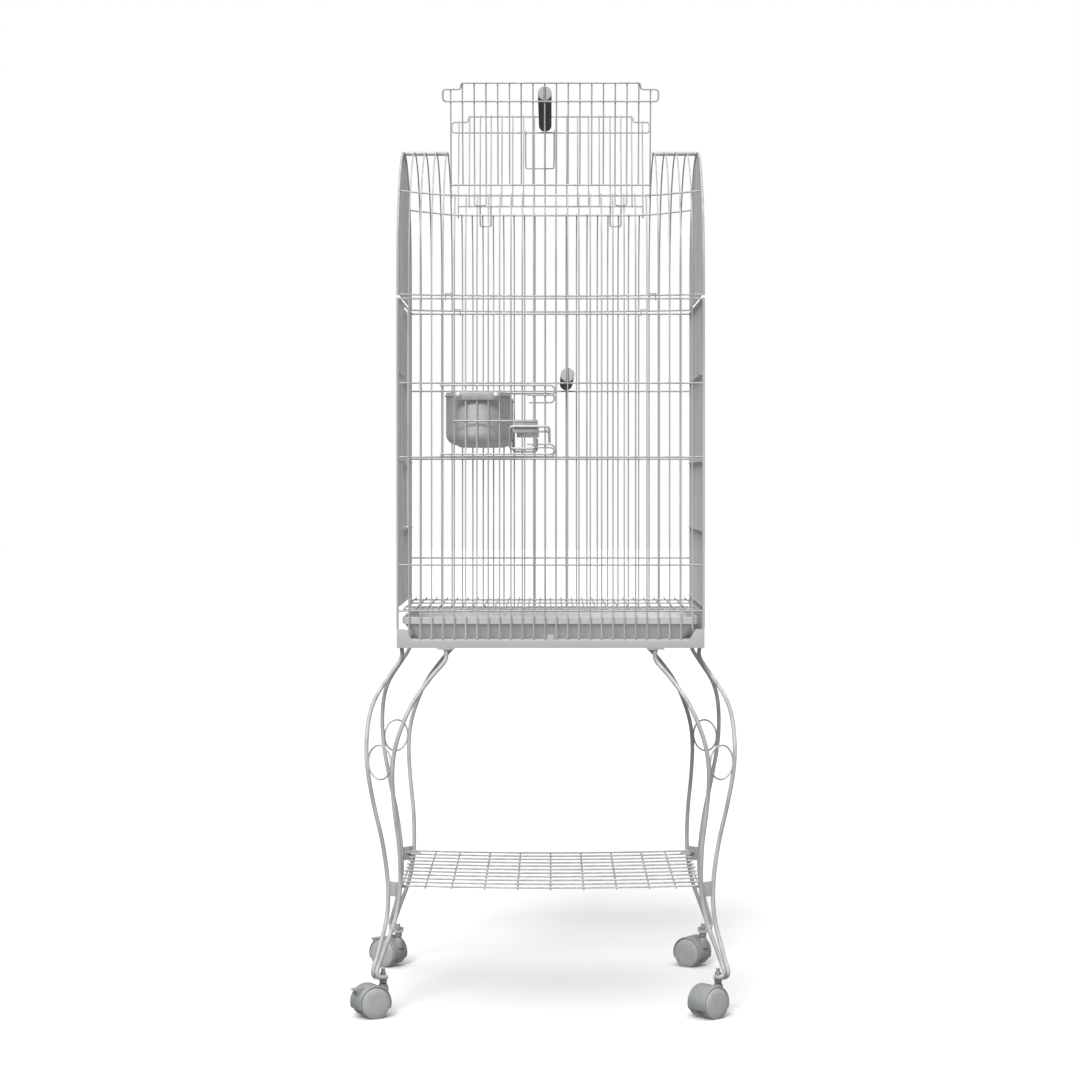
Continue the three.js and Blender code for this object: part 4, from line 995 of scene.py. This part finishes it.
def grate_strands():
    low, high = span("grate")
    reach_x, reach_y = (high.x - low.x) / 2 - 4, (high.y - low.y) / 2
    z = high.z - 1.7
    strands = []
    for i in range(GRATE_WIRES):
        x = -reach_x + 2 * reach_x * i / (GRATE_WIRES - 1)
        strands.append(([(x, -reach_y, z), (x, reach_y, z)], infill_d()))
    for y in GRATE_CROSS:
        strands.append(([(-reach_x - 4, y, z - row_in()), (reach_x + 4, y, z - row_in())], row_d()))
    return strands


class CAGE_OT_tray(bpy.types.Operator):
    """Slide-out tray and grate"""

    bl_idname = "cage.tray"
    bl_label = "Tray and grate"

    def execute(self, context):
        piece("tray_pan", "tray_body", ["tray"], solids=[tray_solid()],
              material=tray_plastic(), smooth=30)
        piece("grate_wires", "grate_body", ["grate"], strands=grate_strands(),
              material=powder_coat())
        return {"FINISHED"}


# ------------------------------------------------------------------ stand
def smooth_path(points, steps=5):
    """A curve through the points."""
    points = [Vector(p) for p in points]
    ends = [2 * points[0] - points[1]] + points + [2 * points[-1] - points[-2]]
    out = []
    for i in range(1, len(ends) - 2):
        a, b, c, d = ends[i - 1:i + 3]
        for k in range(steps):
            t = k / steps
            out.append(0.5 * (2 * b + (c - a) * t + (2 * a - 5 * b + 4 * c - d) * t ** 2
                              + (3 * b - a - 3 * c + d) * t ** 3))
    return out + [points[-1]]


def leg_rods():
    fx, fy, fz, thick = FOOT
    path = smooth_path(LEG_PATH)
    twin = [Vector((p.y, p.x, p.z)) for p in path]
    seat = fz + thick + 0.6
    end = [Vector((37.6, 30.3, seat + 5)), Vector((36.6, 25.5, seat + 1)), Vector((34.4, 19, seat)),
           Vector((fx + 11.2, fy - 4, seat))]
    twin_end = [Vector((30.2, 37.6, seat + 5)), Vector((25, 36.4, seat + 1)), Vector((20, 32.4, seat)),
                Vector((fx - 6, fy + 14.5, seat))]
    return smooth_path(path[::5] + end), smooth_path(twin[::5] + twin_end)


def rod_at(height):
    path, _ = leg_rods()
    for a, b in zip(path, path[1:]):
        if b.z <= height <= a.z:
            return a.lerp(b, (a.z - height) / (a.z - b.z))
    raise ValueError(f"no rod at {height} mm")


def leg_parts(sx, sy):
    def place(p):
        return (sx * (HALF_W + p[0]), sy * (HALF_D + p[1]), p[2])

    rod_d = sizes().leg / MM
    strands = [([place(p) for p in path], rod_d) for path in leg_rods()]
    ring_z, ring_d = RING
    side = rod_at(ring_z)
    middle = (side.x + side.y) / 2
    spread = abs(side.x - side.y) / math.sqrt(2) - rod_d / 2
    radius = spread - ring_d / 2 + 0.9
    ring = []
    for i in range(40):
        turn = 2 * math.pi * i / 40
        along = radius * math.cos(turn) / math.sqrt(2)
        ring.append(place((middle - along, middle + along, ring_z + radius * math.sin(turn))))
    strands.append((ring, ring_d, True))
    strap_z, strap_h, strap_t = STRAP
    end = rod_at(strap_z + strap_h / 2)
    at, half = (end.x + end.y) / 2, abs(end.x - end.y) / math.sqrt(2)
    turn = Matrix.Translation((at, at, 0)) @ Matrix.Rotation(math.radians(135), 4, "Z")
    solids = [moved(block((-half, -strap_t / 2, strap_z), (half, strap_t / 2, strap_z + strap_h)), turn)]
    top = STAND_H - GAP
    solids.append(block((-7, -92, top - 2.4), (3, -64, top)))
    solids.append(block((-92, -7, top - 2.4), (-64, 3, top)))
    fx, fy, fz, thick = FOOT
    sheet = prism([(15, 8), (22, 4), (34, 8), (38, 22), (34, 34), (22, 33), (14, 24)], thick)
    solids.append(shifted(sheet, 0, 0, fz))
    return strands, [([place(p) for p in points], faces) for points, faces in solids]


def shelf_strands():
    low, high = span("shelf")
    wire = 3
    z_edge = high.z - 2.1
    reach = HALF_W - 2

    def sag(x):
        return z_edge - SHELF_SAG * (1 - (x / reach) ** 2)

    strands = []
    for i in range(SHELF_WIRES):
        y = -HALF_D + 2 * HALF_D * i / (SHELF_WIRES - 1)
        xs = [reach * (k / 10 - 1) for k in range(21)]
        strands.append(([(x, y, sag(x)) for x in xs], wire))
    for x in sorted({s * c * HALF_W / 250 for c in SHELF_CROSS for s in (-1, 1)}):
        z = sag(x) - wire + WELD
        strands.append(([(x, -HALF_D - 3, z), (x, HALF_D + 3, z)], wire))
    return strands


def shelf_lugs():
    end = rod_at(STRAP[0] + STRAP[1] / 2)
    reach = (end.x + end.y) / math.sqrt(2) - STRAP[2] / 2 - GAP
    lugs = []
    for sx in (-1, 1):
        for sy in (-1, 1):
            turn = Matrix.Translation((HALF_W, HALF_D, 206)) @ Matrix.Rotation(math.radians(45), 4, "Z")
            points, faces = moved(block((-22, -5, 0), (reach, 5, 3)), turn)
            lugs.append(([(sx * x, sy * y, z) for x, y, z in points], faces))
    return lugs


class CAGE_OT_stand(bpy.types.Operator):
    """Base frame, legs and shelf"""

    bl_idname = "cage.stand"
    bl_label = "Stand"

    def execute(self, context):
        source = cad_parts["base_frame"]
        shape = bmesh.new()
        shape.from_mesh(source.data)
        bmesh.ops.remove_doubles(shape, verts=shape.verts, dist=1e-6)
        bmesh.ops.dissolve_limit(shape, angle_limit=math.radians(1), verts=shape.verts, edges=shape.edges)
        bevel_edges(shape, 30, 0.35)
        mesh = bpy.data.meshes.new("base_rails")
        shape.to_mesh(mesh)
        shape.free()
        mesh.materials.append(coated_sheet())
        mesh.shade_smooth()
        mesh.set_sharp_from_angle(angle=math.radians(35))
        rails = bpy.data.objects.new("base_rails", mesh)
        bpy.context.collection.objects.link(rails)
        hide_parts("base_frame")
        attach(rails, "frame")
        coat = powder_coat()
        for name in CASTER_TURN:
            strands, solids = leg_parts(*corner_signs(name))
            piece(f"{name}_leg_rods", "frame", [f"{name}_leg"], strands=strands,
                  solids=solids, material=coat, bevel=0.4)
        piece("shelf_wires", "frame", ["shelf"], strands=shelf_strands(),
              solids=shelf_lugs(), material=coat, bevel=0.4)
        return {"FINISHED"}


# ------------------------------------------------------------------ casters
def corner_signs(name):
    return (-1 if name.endswith("left") else 1), (-1 if name.startswith("front") else 1)


def at_swivel(name, solid):
    """Places a solid drawn round the swivel's axis, wheels trailing towards -x."""
    sx, sy = corner_signs(name)
    turn = Matrix.Rotation(math.radians(CASTER_TURN[name]), 4, "Z")
    place = Matrix.Translation((sx * (HALF_W + FOOT[0]), sy * (HALF_D + FOOT[1]), 0)) @ turn
    return moved(solid, place)


def arc_xz(radius, degrees, y):
    turn = math.radians(degrees)
    return (-WHEEL_TRAIL + radius * math.cos(turn), y, WHEEL_D / 2 + radius * math.sin(turn))


def sector(radius, start, end, steps):
    return [(-WHEEL_TRAIL + radius * math.cos(math.radians(start + (end - start) * i / steps)),
             WHEEL_D / 2 + radius * math.sin(math.radians(start + (end - start) * i / steps)))
            for i in range(steps + 1)]


def stood(outline, width):
    """An outline in x and z, as wide as width along y."""
    return shifted(tipped(prism(outline, width)), 0, width / 2, 0)


def hood_solids():
    outer, inner, width = HOOD
    low, high = HOOD_ARC
    crown = [(outer - 1.4, -width / 2), (outer - 0.4, 0.6 - width / 2), (outer, 1.8 - width / 2),
             (outer, width / 2 - 1.8), (outer - 0.4, width / 2 - 0.6), (outer - 1.4, width / 2),
             (inner, width / 2), (inner, -width / 2)]
    fender = lofted([[arc_xz(radius, low + (high - low) * i / 48, y) for radius, y in crown]
                     for i in range(49)])
    web = stood(sector(inner + 0.5, low, high, 48) + sector(7, 230, 310, 8), WEB)
    axle_z = WHEEL_D / 2
    crest = outer + axle_z - 0.5
    neck = [(0.01, axle_z + 10), (9.5, axle_z + 10), (8.5, axle_z + 22), (6.6, crest - 1), (6, crest),
            (0.01, crest)]
    boss = lofted(turned(neck, 40))
    axle = shifted(tipped(rod(3, -22.8, 22.8, 20)), -WHEEL_TRAIL, 0, WHEEL_D / 2)
    return [fender, web, boss, axle]


def wheel_solid(sign):
    """A moulded wheel: a bore from inside, and a domed disc that closes its outer face."""
    r, half, bore = WHEEL_D / 2, WHEEL_W / 2, 3.5
    tread = [(r - 3, -half), (r - 1, -half + 0.8), (r, -half + 2.8), (r, half - 3.4), (r - 0.7, half - 2)]
    dome = [(r - 1.6, half - 1.4), (r - 2.4, half - 1.6), (r - 3, half - 1.1), (17, half - 0.55),
            (11, half - 0.2), (5, half), (0.01, half)]
    outline = [(0.01, half - 0.8), (bore, half - 0.8), (bore, -half)] + tread + dome
    wheel = lofted(turned(outline, 64), closed=True)
    facing = tipped(wheel) if sign < 0 else moved(tipped(wheel), Matrix.Rotation(math.pi, 4, "Z"))
    return shifted(facing, -WHEEL_TRAIL, sign * (WEB / 2 + 0.8 + half), r)


def brake_solid():
    """A short tab that stands off the hood's back, in a curl that a toe can press."""
    tip = [(-14.5, 25.3), (-20, 25), (-27, 24), (-31.6, 23.3), (-32.6, 22.4), (-32, 21.4), (-28.8, 20),
           (-27.3, 17), (-26.6, 14)]
    turns = [math.radians(a) for a in range(152, 119, -4)]
    skirt = [((HOOD[0] + 0.35) * math.cos(t), (HOOD[0] + 0.35) * math.sin(t)) for t in turns]
    return stood([(x - WHEEL_TRAIL, z + WHEEL_D / 2) for x, z in tip + skirt], 16)


def stem_solids():
    fz, thick = FOOT[2], FOOT[3]
    low, high = HOOD[0] + WHEEL_D / 2 + 1, fz - GAP
    collar = [(0.01, low), (6, low), (6.3, low + 0.5), (6.3, low + 3.4), (5.6, low + 3.8), (5.6, low + 4.6),
              (6.6, low + 5.2), (6.6, high), (0.01, high)]
    nut = rod(5.5, fz + thick + GAP, fz + thick + 6, 6)
    return [rod(3.3, 45, 77, 24), lofted(turned(collar, 40)), nut]


class CAGE_OT_casters(bpy.types.Operator):
    """Four swivel casters, two with brakes"""

    bl_idname = "cage.casters"
    bl_label = "Casters"

    def execute(self, context):
        for name in CASTER_TURN:
            swivel = f"{name}_swivel_body"
            piece(f"{name}_stem_rod", "frame", [f"{name}_stem"],
                  solids=[at_swivel(name, s) for s in stem_solids()], material=zinc(), bevel=0.3)
            piece(f"{name}_hood", swivel, [f"{name}_caster"],
                  solids=[at_swivel(name, s) for s in hood_solids()], material=caster_plastic(), bevel=0.4)
            for side, sign in (("inner", -1), ("outer", 1)):
                piece(f"{name}_{side}_roller", f"{name}_{side}_wheel_body",
                      [f"{name}_{side}_wheel"], solids=[at_swivel(name, wheel_solid(sign))],
                      material=wheel_plastic(), smooth=50)
            if name.endswith("left"):
                piece(f"{name}_brake_lever", f"{name}_brake_body", [f"{name}_brake"],
                      solids=[at_swivel(name, brake_solid())], material=caster_plastic(), bevel=0.4)
        return {"FINISHED"}


# ------------------------------------------------------------------ stage
CAMERA_BACK = 4618.5
CAMERA_UP = 870
LENS = 90
SHIFT = (-0.00981, -0.05417)
ROOM_LIGHT = 0.32


def soft_sun(name, towards, strength, spread):
    """A wide sun, so that the floor is lit evenly as far as it goes."""
    lamp = bpy.data.lights.new(name, "SUN")
    lamp.energy = strength
    lamp.angle = math.radians(spread)
    obj = bpy.data.objects.new(name, lamp)
    bpy.context.collection.objects.link(obj)
    obj.rotation_euler = Vector(towards).to_track_quat("-Z", "Y").to_euler()
    return obj


class CAGE_OT_stage(bpy.types.Operator):
    """Floor, soft lights and camera"""

    bl_idname = "cage.stage"
    bl_label = "Studio"

    def execute(self, context):
        scene = context.scene
        mesh = bpy.data.meshes.new("floor")
        mesh.from_pydata([(-30, -30, 0), (30, -30, 0), (30, 30, 0), (-30, 30, 0)], [], [(0, 1, 2, 3)])
        floor = bpy.data.objects.new("floor", mesh)
        bpy.context.collection.objects.link(floor)
        # Painted studio floor: matt and even.
        mesh.materials.append(finish("Studio floor paint", scene.cage_colours.floor, 0.9,
                                     grain=(400, 400, 400), bump=0, spread=0.02))
        lights = [
            soft_sun("key light", (0.15, 0.76, -0.62), 2.3, 20),
            soft_sun("top light", (0.05, 0.15, -1), 1.7, 60),
        ]
        # The floor throws no light back up, so undersides stay dark.
        floor.visible_diffuse = False
        floor.visible_glossy = False
        world = bpy.data.worlds.new("studio")
        world.use_nodes = True
        # A dim room to light by, and a white sheet for what shows behind the object.
        tree = world.node_tree
        room = tree.nodes["Background"]
        room.inputs["Color"].default_value = linear("FFFFFF")
        room.inputs["Strength"].default_value = ROOM_LIGHT
        sheet = add(tree, "ShaderNodeBackground", [("Color", linear("FFFFFF")), ("Strength", 1)])
        seen = add(tree, "ShaderNodeLightPath").outputs["Is Camera Ray"]
        both = add(tree, "ShaderNodeMixShader", [
            (0, seen), (1, room.outputs["Background"]), (2, sheet.outputs["Background"])])
        tree.links.new(both.outputs["Shader"], tree.nodes["World Output"].inputs["Surface"])
        scene.world = world
        scene.view_settings.view_transform = "Standard"
        camera = bpy.data.cameras.new("camera")
        camera.lens = LENS
        camera.sensor_width = 36
        camera.shift_x, camera.shift_y = SHIFT
        camera.clip_end = 100
        obj = bpy.data.objects.new("camera", camera)
        bpy.context.collection.objects.link(obj)
        obj.location = (CENTRE.x, CENTRE.y - CAMERA_BACK * MM, CAMERA_UP * MM)
        obj.rotation_euler = (math.radians(90), 0, 0)
        scene.camera = obj
        return {"FINISHED"}


# ------------------------------------------------------------------ panel and registration
OPERATORS = [
    CAGE_OT_walls, CAGE_OT_roof, CAGE_OT_flaps, CAGE_OT_perches, CAGE_OT_feeders, CAGE_OT_main_door,
    CAGE_OT_tray, CAGE_OT_stand, CAGE_OT_casters, CAGE_OT_stage,
]


class CAGE_PT_panel(bpy.types.Panel):
    """Bird cage builder"""

    bl_idname = "CAGE_PT_panel"
    bl_label = "Bird cage"
    bl_space_type = "VIEW_3D"
    bl_region_type = "UI"
    bl_category = "Bird cage"

    def draw(self, context):
        for group in (context.scene.cage_sizes, context.scene.cage_colours):
            for key in group.__annotations__:
                self.layout.prop(group, key)
        for operator in OPERATORS:
            self.layout.operator(operator.bl_idname)


CLASSES = [CageSizes, CageColours, *OPERATORS, CAGE_PT_panel]


def register():
    for item in CLASSES:
        bpy.utils.register_class(item)
    bpy.types.Scene.cage_sizes = bpy.props.PointerProperty(type=CageSizes)
    bpy.types.Scene.cage_colours = bpy.props.PointerProperty(type=CageColours)


def unregister():
    del bpy.types.Scene.cage_sizes
    del bpy.types.Scene.cage_colours
    for item in reversed(CLASSES):
        bpy.utils.unregister_class(item)


def main():
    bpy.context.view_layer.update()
    register()
    for operator in OPERATORS:
        group, name = operator.bl_idname.split(".")
        getattr(getattr(bpy.ops, group), name)()


if __name__ == "__main__":
    main()
